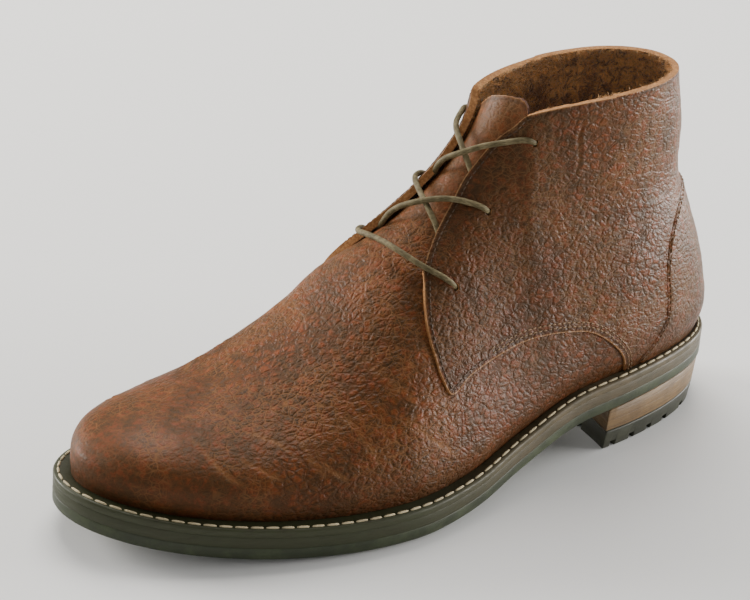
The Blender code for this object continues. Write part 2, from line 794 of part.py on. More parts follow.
def wall_solid(levels, outer_depth, inner_depth, bottom, top):
    """A hollow wall between two depths in the last, with its two edges set in by bottom and top."""
    rings = last_rings(levels)
    outside = offset_rings(rings, outer_depth)
    inside = offset_rings(rings, inner_depth)
    outside[0, :, 2] += bottom
    inside[0, :, 2] += bottom
    for wall in (outside, inside):
        step = wall[-2] - wall[-1]
        wall[-1] += step / np.linalg.norm(step, axis=1)[:, None] * top
    return closed_band(np.concatenate([outside, inside[::-1]]))


VAMP_DEPTH = QUARTER_STEP / 2
QUARTER_DEPTH = -QUARTER_STEP / 2


def build_upper(group):
    item = make_object("upper", *wall_solid(LEVELS, VAMP_DEPTH, VAMP_DEPTH + WALL, 0.0, 0.0), group)
    boolean(item, throat_cutter("throat", THROAT_BASE, THROAT[-1].level, 16, GAP), "DIFFERENCE")
    middle = VAMP_DEPTH + WALL / 2
    trim = GAP * 0.8
    quarters = cutter("quarters", *wall_solid(LEVELS, QUARTER_DEPTH, middle, trim, trim))
    boolean(quarters, quarter_cutter(), "DIFFERENCE")
    above = throat_cutter("throat_above", THROAT[0].level, THROAT[-1].level, 16, 0.0)
    boolean(quarters, above, "DIFFERENCE")
    boolean(item, quarters, "UNION")
    backstay_levels = [level for level in LEVELS if level < BACKSTAY_EDGE[0].height + 0.14]
    backstay = cutter("backstay", *wall_solid(
        backstay_levels, QUARTER_DEPTH - BACKSTAY_STEP, middle * 0.6, 2 * trim, 0.0))
    boolean(backstay, backstay_block(), "INTERSECT")
    boolean(item, backstay, "UNION")
    for row in EYELETS:
        for side in (1, -1):
            point, slope = on_last(row.level, THROAT_WIDTH * row.reach, side, 0.0)
            bpy.ops.mesh.primitive_cylinder_add(vertices=16, radius=EYELET_BORE / 2, depth=8 * WALL,
                                                location=point)
            hole = bpy.context.object
            hole.name = "eyelet_cutter"
            for owner in list(hole.users_collection):
                owner.objects.unlink(hole)
            cutters.objects.link(hole)
            hole.hide_render = True
            hole.display_type = "WIRE"
            hole.rotation_mode = "QUATERNION"
            hole.rotation_quaternion = Vector(slope).to_track_quat("Z", "Y")
            bpy.context.view_layer.update()
            boolean(item, hole, "DIFFERENCE")
    return item


def build_tongue(group):
    """The tongue: a strip under the throat that reaches a tuck past each quarter's edge."""
    outer_depth = VAMP_DEPTH + WALL + TONGUE_CLEARANCE
    levels = np.linspace(THROAT_BASE - 0.06, 1.0, 15)
    rings = last_rings(levels)
    outside = offset_rings(rings, outer_depth)
    inside = offset_rings(rings, outer_depth + TONGUE_WALL)
    normals = ring_normals(rings)
    normals[0] = normals[1]
    outside[0] = rings[0] - normals[0] * outer_depth
    inside[0] = rings[0] - normals[0] * (outer_depth + TONGUE_WALL)
    front = SIDE_POINTS - 1
    columns = 9
    walls = []
    for rows in (outside, inside):
        wall = []
        for level, ring in zip(levels, rows):
            reach = float(throat_reach(max(level, THROAT_BASE))) + TONGUE_TUCK
            half = ring[front - 12:front + 13]
            run = np.append(0, np.cumsum(np.linalg.norm(np.diff(half, axis=0), axis=1)))
            middle = run[12]
            marks = middle + np.linspace(-reach, reach, columns)
            wall.append(np.stack([np.interp(marks, run, half[:, k]) for k in range(3)], 1))
        walls.append(np.array(wall))
    verts = np.concatenate([walls[0].reshape(-1, 3), walls[1].reshape(-1, 3)])
    rows = len(levels)
    shift = rows * columns
    faces = []
    for row in range(rows - 1):
        for k in range(columns - 1):
            a = row * columns + k
            b = a + columns
            faces += [(a, a + 1, b + 1, b), (a + shift, a + 1 + shift, b + 1 + shift, b + shift)]
        for k in (0, columns - 1):
            a = row * columns + k
            faces.append((a, a + columns, a + columns + shift, a + shift))
    for k in range(columns - 1):
        for a in (k, (rows - 1) * columns + k):
            faces.append((a, a + 1, a + 1 + shift, a + shift))
    return make_object("tongue", verts, faces, group)


def tube(name, points, group):
    """A lace strand: a curve with a round bevel, turned into a mesh."""
    curve = bpy.data.curves.new(name, "CURVE")
    curve.dimensions = "3D"
    curve.bevel_depth = LACE / 2
    curve.bevel_resolution = 2
    curve.use_fill_caps = True
    spline = curve.splines.new("POLY")
    spline.points.add(len(points) - 1)
    for slot, point in zip(spline.points, points):
        slot.co = (*map(float, point), 1.0)
    draft = bpy.data.objects.new(name + "_curve", curve)
    cutters.objects.link(draft)
    bpy.context.view_layer.update()
    graph = bpy.context.evaluated_depsgraph_get()
    mesh = bpy.data.meshes.new_from_object(draft.evaluated_get(graph))
    bpy.data.objects.remove(draft)
    tidy_mesh(mesh)
    item = bpy.data.objects.new(name, mesh)
    group.objects.link(item)
    if group == cutters:
        item.hide_render = True
        item.display_type = "WIRE"
    return item


def lace_path(stops, count=10):
    """A smooth path through stops of (level, signed reach, lift)."""
    marks = np.linspace(0, 1, len(stops))
    table = np.array(stops, float)
    at = np.linspace(0, 1, count)
    level, reach, lift = (smooth_curve(marks, table[:, k], at) for k in range(3))
    path = []
    for a, b, c in zip(level, reach, lift):
        point, _ = on_last(a, abs(b), 1 if b >= 0 else -1, c)
        path.append(point)
    return path


def build_laces(group):
    over = LACE / 2 + LACE_CLEARANCE - QUARTER_DEPTH
    eyelets = [(row.level, THROAT_WIDTH * row.reach) for row in EYELETS]
    level, reach = eyelets[0]
    stops = [(level, reach, over), (level + 0.006, reach / 2, over), (level + 0.008, 0.0, over),
             (level + 0.006, -reach / 2, over), (level, -reach, over)]
    items = [tube("lace_bar", lace_path(stops), group)]
    names = ("lace_cross_lower", "lace_cross_upper")
    for name, (low_level, _), (level, reach) in zip(names, eyelets, eyelets[1:]):
        end_level = level - (level - low_level) * 0.55
        end = float(throat_reach(end_level)) * 0.72
        inside = over - LACE * 0.75
        strands = []
        for side, lift in ((1, over + LACE * 0.45), (-1, over - LACE * 0.12)):
            middle = level - (level - low_level) * 0.28
            stops = [(level, side * reach, over), (level - 0.008, side * reach * 0.5, (over + lift) / 2),
                     (middle, 0.0, lift), (end_level, -side * end, inside)]
            strands.append(tube(name + ("_a" if side > 0 else "_b"), lace_path(stops),
                                group if side > 0 else cutters))
        strands[0].name = name
        boolean(strands[0], strands[1], "UNION")
        items.append(strands[0])
    return items


clear_scene()
boot = make_collection("chukka_boot")
cutters = make_collection("cutters")
upper = build_upper(boot)
tongue = build_tongue(boot)
outsole = build_outsole(boot)
midsole, welt, insole = build_plates(boot)
heel_block, heel_top_piece = build_heel(boot)
laces = build_laces(boot)
LOOKS = [
    (upper, "upper_leather", (0.19, 0.06, 0.03), 0.45),
    (tongue, "tongue_leather", (0.20, 0.07, 0.035), 0.45),
    (insole, "insole_board", (0.35, 0.22, 0.12), 0.8),
    (welt, "welt_leather", (0.10, 0.07, 0.04), 0.6),
    (midsole, "midsole_leather", (0.07, 0.05, 0.03), 0.6),
    (outsole, "outsole_rubber", (0.02, 0.025, 0.018), 0.6),
    (heel_block, "stacked_leather", (0.30, 0.18, 0.09), 0.6),
    (heel_top_piece, "heel_rubber", (0.02, 0.025, 0.018), 0.6),
] + [(lace, lace.name + "_cord", (0.17, 0.14, 0.08), 0.7) for lace in laces]
for item, name, colour, roughness in LOOKS:
    item.data.materials.clear()
    item.data.materials.append(make_material(name, colour, roughness))
    tidy_mesh(item.data, split=True)
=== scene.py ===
"""Chukka boot, left foot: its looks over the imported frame.

World frame, metres: +Z up, toe towards -Y, +X is the outer side. The named sizes, tables and
shape functions are those of the part's source, read here at a finer count. Leather, suede,
stitches, creases, lace and tread details are added on them.
"""
import math
from collections import namedtuple
from contextlib import contextmanager

import bmesh
import bpy
import numpy as np
from mathutils import Matrix, Vector
from mathutils import noise
from mathutils.bvhtree import BVHTree
from mathutils.kdtree import KDTree


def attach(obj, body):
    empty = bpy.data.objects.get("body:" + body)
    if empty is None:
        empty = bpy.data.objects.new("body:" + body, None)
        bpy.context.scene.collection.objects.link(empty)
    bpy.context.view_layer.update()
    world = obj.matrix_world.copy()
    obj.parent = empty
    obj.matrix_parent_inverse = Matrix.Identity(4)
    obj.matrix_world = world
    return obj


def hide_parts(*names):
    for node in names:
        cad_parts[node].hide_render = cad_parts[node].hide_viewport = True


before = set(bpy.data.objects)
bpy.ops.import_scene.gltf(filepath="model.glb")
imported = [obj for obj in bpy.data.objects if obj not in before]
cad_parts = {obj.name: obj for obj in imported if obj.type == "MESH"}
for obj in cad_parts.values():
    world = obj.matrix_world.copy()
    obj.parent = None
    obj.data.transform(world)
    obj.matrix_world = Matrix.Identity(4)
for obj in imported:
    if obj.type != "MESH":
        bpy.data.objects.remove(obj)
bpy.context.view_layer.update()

# Sole, in plan
SOLE_LENGTH = 0.305
BALL_WIDTH = 0.1065
SWING = 0.0155
MARGIN_TOE = 0.0062
MARGIN_WAIST = 0.0045
MARGIN_HEEL = 0.0048

# Sole, in height
HEEL_HEIGHT = 0.0195
TOE_SPRING = 0.010
OUTSOLE = 0.0048
MIDSOLE = 0.0040
WELT = 0.0032
WELT_REACH = 0.0055
GAP = 0.0003

# Forefoot tread
LUG_PROUD = 0.0012
TREAD_DEPTH = 0.0024
TREAD_MARGIN = 0.0105
TREAD_START = 0.47
TREAD_END = 0.80
SIDE_LUGS = 11
TOE_LUGS = 9
LUG_WIDTH = 0.0072
LUG_LENGTH = 0.020
STUD_WIDTH = 0.0036
STUD_TOOTH = 0.0095
STUD_DEPTH = 0.0050

# Heel
HEEL_LENGTH = 0.079
BREAST_HOLLOW = 0.0050
TOP_PIECE = 0.0085
HEEL_TAPER = 0.0016
HEEL_SET_IN = 0.0005
SLOT_WIDTH = 0.0034
SLOT_DEPTH = 0.0030
SLOT_LENGTH = 0.0225
HEEL_SIDE_SLOTS = 4
HEEL_REAR_SLOTS = 5
HEEL_POCKET_WIDTH = 0.024
CHEVRON = 0.010

# Upper
SHAFT_HEIGHT = 0.1157
INSTEP = 0.1292
COLLAR_WIDTH = 0.0562
ANKLE_WIDTH = 0.0554
HEEL_WIDTH = 0.0663
BACK_CURVE = 0.0045
FEATHER_BULGE = 0.0030
RIDGE_LEAN = 0.0012
WALL = 0.0020
QUARTER_STEP = 0.0009
BACKSTAY_STEP = 0.0007
THROAT_WIDTH = 0.038
EYELET_BORE = 0.0036
TONGUE_CLEARANCE = 0.0009
LACE = 0.0023


def table(fields, *rows):
    """Rows of named values."""
    row = namedtuple("Row", fields)
    return [row(*values) for values in rows]


OUTLINE = table(
    "station swing width",
    (0.000, 0.00, 0.000), (0.050, 0.10, 0.250), (0.120, 0.26, 0.322), (0.220, 0.54, 0.344),
    (0.330, 0.82, 0.327), (0.420, 0.98, 0.350), (0.520, 1.00, 0.426), (0.620, 0.84, 0.492),
    (0.700, 0.64, 0.500), (0.780, 0.45, 0.469), (0.860, 0.29, 0.402), (0.930, 0.16, 0.303),
    (0.975, 0.08, 0.189), (1.000, 0.00, 0.000))

RISE = table(
    "station heel spring",
    (0.00, 1.02, 0.00), (0.24, 1.00, 0.00), (0.32, 0.86, 0.00), (0.42, 0.44, 0.00), (0.52, 0.10, 0.00),
    (0.60, 0.00, 0.00), (0.68, 0.00, 0.00), (0.78, 0.00, 0.11), (0.88, 0.00, 0.40), (1.00, 0.00, 1.00))

# The line over the toe and up the instep: station along the last, height as a share of INSTEP
RIDGE = table(
    "level station height",
    (0.00, 1.000, 0.000), (0.06, 0.998, 0.087), (0.12, 0.985, 0.127), (0.20, 0.955, 0.172),
    (0.30, 0.900, 0.202), (0.40, 0.830, 0.210), (0.50, 0.755, 0.241), (0.60, 0.648, 0.386),
    (0.70, 0.576, 0.545), (0.80, 0.498, 0.697), (0.90, 0.431, 0.856), (1.00, 0.392, 1.000),
    (1.12, 0.380, 1.130))

# The heel line: height as a share of SHAFT_HEIGHT, set back as a share of BACK_CURVE
BACK = table(
    "height setback",
    (0.00, 0.00), (0.08, 0.50), (0.20, -0.06), (0.34, -1.24), (0.50, -2.85),
    (0.62, -4.02), (0.78, -4.26), (1.00, -5.60), (1.20, -6.10))

# Each quarter's front edge beside the throat: reach from the ridge as a share of THROAT_WIDTH
THROAT = table(
    "level reach",
    (0.720, 0.587), (0.784, 0.363), (0.823, 0.289), (0.864, 0.229), (0.893, 0.232),
    (0.932, 0.268), (0.980, 0.395), (1.030, 0.500), (1.110, 0.620))
THROAT_BASE = 0.745

# The quarter's edge below the throat, seen from the side: station along the sole, height as a
# share of INSTEP. It runs down to the tip and back along the arched seam into the welt.
QUARTER_EDGE = table(
    "station height",
    (0.536, 0.544), (0.546, 0.492), (0.554, 0.428), (0.555, 0.361), (0.553, 0.301),
    (0.546, 0.255), (0.507, 0.283), (0.453, 0.307), (0.395, 0.323), (0.339, 0.316),
    (0.295, 0.293), (0.262, 0.244), (0.236, 0.174), (0.224, 0.080))

# The backstay's front edge, seen from the side: height as a share of SHAFT_HEIGHT
BACKSTAY_EDGE = table(
    "station height",
    (0.060, 0.590), (0.100, 0.541), (0.135, 0.463), (0.152, 0.371), (0.156, 0.298),
    (0.154, 0.221), (0.156, 0.159), (0.172, 0.099), (0.200, 0.030))

# Eyelets: reach from the ridge as a share of THROAT_WIDTH
EYELETS = table("level reach", (0.746, 0.753), (0.845, 0.503), (0.957, 0.534))

# Zigzag studs down the middle of the tread
STUDS = table("station teeth", (0.520, 2), (0.592, 3), (0.664, 4), (0.736, 3), (0.808, 2))

# Counts for the fine surfaces
AROUND = 230
UP = 116
FINE_ROWS = 150
HEEL_ROWS = 90
SOLE_ROWS = 60

# Leather
EDGE_REACH = 0.003  # width of the strip beside a cut edge that holds its pale line and painted groove shadow
EYELET_MARGIN = 0.004  # no such strip this near an eyelet
WELT_MARGIN = 0.003  # nor this low over the welt
CORNER = 0.007  # radius of the quarters' upper front corners
TUCK = 0.010  # how far the vamp and the tongue reach under the quarters
LEVEL_LENGTH = 0.2  # turns a step in ridge level into metres, roughly
CREASE_WIDTH = 0.0008

# Eased edges: of the cut rubber and heel, and of the welt and midsole
EDGE_ROUND = 0.00025
SOLE_ROUND = 0.0001

# Stitches: the length, width and height of one, and how far each row lies from its edge
WELT_STITCH_INSET = 0.0020
WELT_STITCH_PITCH = 0.0058
WELT_STITCH = (0.0048, 0.0010, 0.0011)
SEAM_PITCH = 0.0024
SEAM_STITCH = (SEAM_PITCH * 0.72, 0.00042, 0.00042)
BOLD_STITCH = (SEAM_PITCH * 0.72, 0.0006, 0.0006)
ARCH_ROWS = (0.0020, 0.0036)
FRONT_ROW = 0.0018
BACKSTAY_ROW = 0.0014
ARCH_FROM = 0.42  # share of the quarter's edge line where the arched rows start
FRONT_TO = 0.40  # and where the front row ends

# Lace braid
BRAID_PITCH = 0.0011
BRAID_STRANDS = 3

# Suede fibres: how many, and the least and most thickness and length
NAP_COUNT = 11000
NAP_THICK = (0.00014, 0.00030)
NAP_LONG = (0.0008, 0.0024)


# Shape of the part, as in its source

def column(rows, name):
    """One named column of a table."""
    return np.array([getattr(row, name) for row in rows], float)


def smooth_curve(xs, ys, at):
    """A smooth curve through the rows of a table."""
    at = np.asarray(at, float)
    step = np.diff(xs)
    slope = np.diff(ys) / step
    tangent = np.empty(len(ys))
    tangent[1:-1] = (slope[:-1] * step[1:] + slope[1:] * step[:-1]) / (step[:-1] + step[1:])
    tangent[0] = slope[0] * 1.5 - tangent[1] * 0.5
    tangent[-1] = slope[-1] * 1.5 - tangent[-2] * 0.5
    row = np.clip(np.searchsorted(xs, at) - 1, 0, len(xs) - 2)
    t = (at - xs[row]) / step[row]
    low = (2 * t**3 - 3 * t**2 + 1) * ys[row] + (t**3 - 2 * t**2 + t) * step[row] * tangent[row]
    high = (-2 * t**3 + 3 * t**2) * ys[row + 1] + (t**3 - t**2) * step[row] * tangent[row + 1]
    return low + high


def from_table(rows, key, value, at):
    return smooth_curve(column(rows, key), column(rows, value), at)


def ease(share):
    share = np.clip(share, 0, 1)
    return share * share * (3 - 2 * share)


def station_y(station):
    """Stations run from 0 at the heel end of the sole to 1 at the toe."""
    return SOLE_LENGTH * (0.5 - np.asarray(station, float))


def margin(station):
    """How far the upper stands in from the edge of the sole."""
    marks = np.array([0, 0.15, 0.33, 0.60, 1.0])
    widths = np.array([MARGIN_HEEL, MARGIN_HEEL, MARGIN_WAIST, MARGIN_TOE, MARGIN_TOE])
    return smooth_curve(marks, widths, station)


def dense_outline():
    """The sole's outline: y, outer x and inner x at many turns from the heel to the toe."""
    turn = np.linspace(0, math.pi, 721)
    marks = np.arccos(1 - 2 * column(OUTLINE, "station"))
    centre = SWING * smooth_curve(marks, column(OUTLINE, "swing"), turn)
    half = BALL_WIDTH * smooth_curve(marks, column(OUTLINE, "width"), turn)
    middle = ((centre + half).max() + (centre - half).min()) / 2
    return SOLE_LENGTH * np.cos(turn) / 2, centre + half - middle, centre - half - middle


OUTLINE_Y, OUTLINE_OUTER, OUTLINE_INNER = dense_outline()
AXIS_X = OUTLINE_OUTER[0]


def inset_outline(inset):
    """The outline moved inwards along its own normals. inset is a number or follows the station."""
    loop = np.concatenate([
        np.stack([OUTLINE_OUTER, OUTLINE_Y], 1),
        np.stack([OUTLINE_INNER, OUTLINE_Y], 1)[-2:0:-1],
    ])
    along = np.roll(loop, -1, 0) - np.roll(loop, 1, 0)
    inward = np.stack([along[:, 1], -along[:, 0]], 1)
    inward /= np.linalg.norm(inward, axis=1)[:, None]
    if inward[loop[:, 0].argmax(), 0] > 0:
        inward = -inward
    depth = inset(0.5 - loop[:, 1] / SOLE_LENGTH) if callable(inset) else inset
    moved = loop + inward * np.broadcast_to(depth, len(loop))[:, None]
    count = len(OUTLINE_Y)
    outer = moved[:count]
    inner = np.concatenate([moved[count - 1:], moved[:1]])[::-1]
    return outer, inner


def edge_rows(inset, first=0.0, last=1.0, count=SOLE_ROWS):
    """Rows across the sole between two stations: y, outer x, inner x."""
    outer, inner = inset_outline(inset)
    heel, toe = outer[0, 1], outer[-1, 1]
    start = math.acos(1 - 2 * np.clip((heel - station_y(first)) / (heel - toe), 0, 1))
    end = math.acos(1 - 2 * np.clip((heel - station_y(last)) / (heel - toe), 0, 1))
    y = heel + (toe - heel) * (1 - np.cos(np.linspace(start, end, count))) / 2
    outer = outer[np.argsort(outer[:, 1])]
    inner = inner[np.argsort(inner[:, 1])]
    return y, np.interp(y, outer[:, 1], outer[:, 0]), np.interp(y, inner[:, 1], inner[:, 0])


FEATHER_Y, FEATHER_OUTER, FEATHER_INNER = edge_rows(margin, count=721)
LAST_HEEL, LAST_TOE = FEATHER_Y[0], FEATHER_Y[-1]


def feather(y):
    """Centre and half width of the line where the upper meets the welt."""
    outer = np.interp(-y, -FEATHER_Y, FEATHER_OUTER)
    inner = np.interp(-y, -FEATHER_Y, FEATHER_INNER)
    return (outer + inner) / 2, (outer - inner) / 2


def sole_underside(y):
    station = np.clip(0.5 - np.asarray(y, float) / SOLE_LENGTH, 0, 1)
    heel = np.maximum(from_table(RISE, "station", "heel", station), 0)
    spring = np.maximum(from_table(RISE, "station", "spring", station), 0)
    return LUG_PROUD + (HEEL_HEIGHT - LUG_PROUD) * heel + TOE_SPRING * spring


def midsole_low(y):
    return sole_underside(y) + OUTSOLE + GAP


def midsole_top(y):
    return midsole_low(y) + MIDSOLE


def welt_low(y):
    return midsole_top(y) + GAP


def welt_top(y):
    return welt_low(y) + WELT


def ridge_line(level):
    """The upper's centre line over the toe and instep: y and z."""
    station = from_table(RIDGE, "level", "station", level)
    height = from_table(RIDGE, "level", "height", level)
    y = LAST_HEEL + (LAST_TOE - LAST_HEEL) * station
    waist, toe = welt_top(0.0), welt_top(LAST_TOE)
    drop = np.clip(1 - np.asarray(level) / 0.35, 0, 1) ** 1.5
    return y, waist + INSTEP * height + (toe - waist) * drop


def setback(z):
    height = np.clip((z - welt_top(LAST_HEEL)) / SHAFT_HEIGHT, 0, 1.2)
    return BACK_CURVE * from_table(BACK, "height", "setback", height)


def heel_line(level):
    """The upper's centre line up the heel: y and z."""
    z = welt_top(LAST_HEEL) + SHAFT_HEIGHT * np.asarray(level, float)
    return LAST_HEEL + setback(z), z


def ridge_height(y):
    """The top of the form over a place on the foot. Behind the collar it runs on up the shin."""
    line_y, line_z = ridge_line(np.linspace(0, 1.12, 200))
    shin_y = line_y[-1] + np.array([0.1, 0.24, 1.0]) * SOLE_LENGTH
    shin_z = line_z[-1] + np.array([0.42, 1.25, 6.0]) * INSTEP
    return np.interp(y, np.append(line_y, shin_y), np.append(line_z, shin_z))


def last_section(y, z):
    """Centre and half width of the last at a place and height."""
    share = (y - LAST_HEEL - setback(z)) / (LAST_TOE - LAST_HEEL)
    foot_y = np.clip(y - setback(z) * np.clip(1 - share / 0.45, 0, 1), LAST_TOE, LAST_HEEL)
    foot_centre, foot_half = feather(foot_y)
    floor = welt_top(foot_y)
    top = ridge_height(y)
    share = (foot_y - LAST_HEEL) / (LAST_TOE - LAST_HEEL)
    end_cap = np.sqrt(np.clip(1 - (2 * share - 1) ** 2, 0, 1))
    widest = 4 * FEATHER_BULGE + 2.7 * FEATHER_BULGE * np.clip(1 - share / 0.4, 0, 1)
    rise = np.clip(np.maximum(z - floor, 0) / widest, 0, 1)
    low = foot_half + FEATHER_BULGE * np.sin(rise * math.pi / 2) * np.minimum(end_cap * 2, 1)
    height = np.clip((z - welt_top(LAST_HEEL)) / SHAFT_HEIGHT, 0, 1.3)
    marks = np.array([0, 0.3, 0.6, 1.0, 1.3])
    widths = np.array([HEEL_WIDTH, HEEL_WIDTH, ANKLE_WIDTH, COLLAR_WIDTH, COLLAR_WIDTH * 1.03]) / 2
    back_cap = (1 - (1 - np.clip(share / 0.22, 0, 1)) ** 2.4) ** (1 / 2.1)
    high = smooth_curve(marks, widths, height) * back_cap
    blend = ease((height - 0.1) / 0.55) * ease((0.62 - share) / 0.30)
    half = low * (1 - blend) + high * blend
    shoulder = floor + widest * np.clip((top - floor) / (10 * FEATHER_BULGE), 0, 1)
    crown = np.clip((z - shoulder) / np.maximum(top - shoulder, 1e-5), 0, 1)
    half = half * (1 - crown ** 2.3) ** 0.5
    lean = ease((z - floor) / np.clip(top - floor, 1e-4, 20 * FEATHER_BULGE))
    top_centre = AXIS_X + RIDGE_LEAN * ease((1 - share) / 0.3)
    return foot_centre * (1 - lean) + top_centre * lean, half


def ring_normals(rings):
    around = np.roll(rings, -1, 1) - np.roll(rings, 1, 1)
    up = np.gradient(rings, axis=0)
    normals = np.cross(up, around)
    normals[0, :, 2] = 0
    normals /= np.linalg.norm(normals, axis=2, keepdims=True)
    return normals


def grid_faces(rows, count, closed=False):
    """Faces of a grid of closed rows. If it is closed, its last row also meets its first."""
    faces = []
    for row in range(rows if closed else rows - 1):
        base, after = row * count, (row + 1) % rows * count
        for k in range(count):
            n = (k + 1) % count
            faces.append((base + k, base + n, after + n, after + k))
    return faces


def strip_solid(lows, tops):
    """Points and faces of a plate. lows and tops each hold rows of (outer point, inner point)."""
    rows = len(lows)
    verts = np.concatenate([np.asarray(lows).reshape(-1, 3), np.asarray(tops).reshape(-1, 3)])
    shift = 2 * rows
    faces = [(0, 1, shift + 1, shift), (shift - 2, shift - 1, 2 * shift - 1, 2 * shift - 2)]
    for row in range(rows - 1):
        a, b, c, d = 2 * row, 2 * row + 1, 2 * row + 2, 2 * row + 3
        faces += [(a, b, d, c), (a + shift, b + shift, d + shift, c + shift)]
        faces += [(a, c, c + shift, a + shift), (b, d, d + shift, b + shift)]
    return verts, faces


def plate_rows(inset, height, first=0.0, last=1.0, count=SOLE_ROWS):
    y, outer, inner = edge_rows(inset, first, last, count)
    z = height(y) if callable(height) else np.full(len(y), height)
    return np.stack([np.stack([outer, y, z], 1), np.stack([inner, y, z], 1)], 1)


def prism(points, low, top):
    """Points and faces of a plan polygon between two heights, each a number or a function of y."""
    count = len(points)
    verts = []
    for height in (low, top):
        verts += [(x, y, height(y) if callable(height) else height) for x, y in points]
    faces = [tuple(range(count)), tuple(range(count, 2 * count))]
    for k in range(count):
        n = (k + 1) % count
        faces.append((k, n, count + n, count + k))
    return verts, faces


def join_prisms(shapes):
    verts, faces = [], []
    for some_verts, some_faces in shapes:
        shift = len(verts)
        verts += list(some_verts)
        faces += [tuple(k + shift for k in face) for face in some_faces]
    return verts, faces


def radial_bars(inset, first, last, sides, ends, length, width, taper):
    """Plan outlines of bars that start on the inset outline and point at a spine.

    The spine runs from station first to station last. There are sides bars along each of its
    long sides, and ends bars round its end."""
    toe_end = last > first
    spine_end = station_y(last)
    y, outer, inner = edge_rows(inset, first, 1.0, 400) if toe_end else edge_rows(inset, 0.0, first, 400)
    side = y > spine_end if toe_end else y < spine_end
    centre = (outer + inner) / 2
    bars = []
    for x_line in (outer, inner):
        marks = np.linspace(station_y(first), spine_end, sides + 1)
        for mark in (marks[:-1] + marks[1:]) / 2:
            start, target = (float(np.interp(-mark, -y, line)) for line in (x_line, centre))
            bars.append((np.array([start, mark]), np.array([target, mark])))
    end_outer = np.stack([outer[~side], y[~side]], 1)
    end_inner = np.stack([inner[~side], y[~side]], 1)
    end = np.concatenate([end_outer, end_inner[::-1]] if toe_end else [end_outer[::-1], end_inner])
    run = length_along(end)
    marks = np.linspace(0, run[-1], ends + 1)
    target = np.array([float(np.interp(-spine_end, -y, centre)), float(spine_end)])
    for mark in (marks[:-1] + marks[1:]) / 2:
        bars.append((np.array([np.interp(mark, run, end[:, 0]), np.interp(mark, run, end[:, 1])]), target))
    shapes = []
    for start, target in bars:
        away = np.linalg.norm(target - start)
        along = (target - start) / away
        across = np.array([-along[1], along[0]]) * width / 2
        stop = start + along * min(length, 0.72 * away)
        narrow = taper if abs(along[1]) > 0.2 else 1.0
        shapes.append([start + across, start - across, stop - across * narrow, stop + across * narrow])
    return shapes


def zigzag(station, teeth):
    """Plan outline of one zigzag stud across the sole."""
    y = float(station_y(station))
    _, outer, inner = edge_rows(0.0, station, 1.0, 2)
    middle = (outer[0] + inner[0]) / 2
    xs = middle + (np.arange(teeth + 1) - teeth / 2) * STUD_TOOTH
    ys = y + np.where(np.arange(teeth + 1) % 2 == 0, -1, 1) * STUD_DEPTH / 2
    back = [(x, v + STUD_WIDTH / 2) for x, v in zip(xs, ys)]
    front = [(x, v - STUD_WIDTH / 2) for x, v in zip(xs, ys)]
    return back + front[::-1]


def ridge_frame(level):
    """A point on the ridge with the directions along it and out of it."""
    here = np.array(ridge_line(level))
    ahead = np.array(ridge_line(level + 0.01))
    behind = np.array(ridge_line(level - 0.01))
    along = (ahead - behind) / np.linalg.norm(ahead - behind)
    out = np.array([-along[1], along[0]])
    centre, _ = last_section(here[0], here[1])
    return float(centre), here, along, out


def throat_reach(level):
    return THROAT_WIDTH * from_table(THROAT, "level", "reach", level)


def on_last(level, reach, side, lift):
    """A point on the last beside the ridge, reach away from it, lifted off the surface."""
    centre, here, _, out = ridge_frame(level)
    depths = np.linspace(0, 0.035, 400)
    y = here[0] - out[0] * depths
    z = here[1] - out[1] * depths
    middle, half = last_section(y, z)
    side_x = (middle + half - centre) if side > 0 else (centre - middle + half)
    k = int(np.argmax(side_x >= reach)) if (side_x >= reach).any() else len(depths) - 1
    k = max(k, 1)
    gone = np.gradient(side_x, depths)[k]
    slope = np.array([side, 0.0, 0.0]) + np.array([0, out[0], out[1]]) * max(gone, 0.0)
    slope /= np.linalg.norm(slope)
    point = np.array([centre + side * min(reach, side_x[k]), y[k], z[k]])
    return point + slope * lift, slope


# Fine surface of the last

def last_ring(level, count):
    """One closed ring of the last's surface: heel, outer side, front, inner side."""
    heel_y, heel_z = heel_line(level)
    front_y, front_z = ridge_line(level)
    turn = np.linspace(0, math.pi, count)
    share = (1 - np.cos(turn + 0.18 * np.sin(2 * turn))) / 2
    y = heel_y + (front_y - heel_y) * share
    z = heel_z + (front_z - heel_z) * share
    foot_y = LAST_HEEL + (LAST_TOE - LAST_HEEL) * share
    straight = welt_top(LAST_HEEL) + (welt_top(LAST_TOE) - welt_top(LAST_HEEL)) * share
    z = z + np.clip(1 - level, 0, 1) ** 1.6 * (welt_top(foot_y) - straight)
    centre, half = last_section(y, z)
    half[0] = 0
    half[-1] = 0
    outer = np.stack([centre + half, y, z], 1)
    inner = np.stack([centre - half, y, z], 1)
    return np.concatenate([outer, inner[-2:0:-1]])


def smooth_rings(rings, passes):
    """Even out small kinks of the ring grid, keeping its first and last ring in place."""
    for _ in range(passes):
        around = (np.roll(rings, 1, 1) + np.roll(rings, -1, 1)) / 2
        up = rings.copy()
        up[1:-1] = (rings[2:] + rings[:-2]) / 2
        target = (around + up) / 2
        rings[1:-1] += (target[1:-1] - rings[1:-1]) * 0.5
    return rings


def ridge_places(points):
    """For points on the last: the ridge level beside each, reach from the ridge, depth below it."""
    levels = np.linspace(0, 1.12, 420)
    y, z = ridge_line(levels)
    centre, _ = last_section(y, z)
    gap = (points[:, 1, None] - y) ** 2 + (points[:, 2, None] - z) ** 2
    near = gap.argmin(1)
    return levels[near], points[:, 0] - centre[near], np.sqrt(gap.min(1))


def length_along(points):
    """The length of a line of points up to each of them."""
    return np.append(0, np.cumsum(np.linalg.norm(np.diff(points, axis=0), axis=1)))


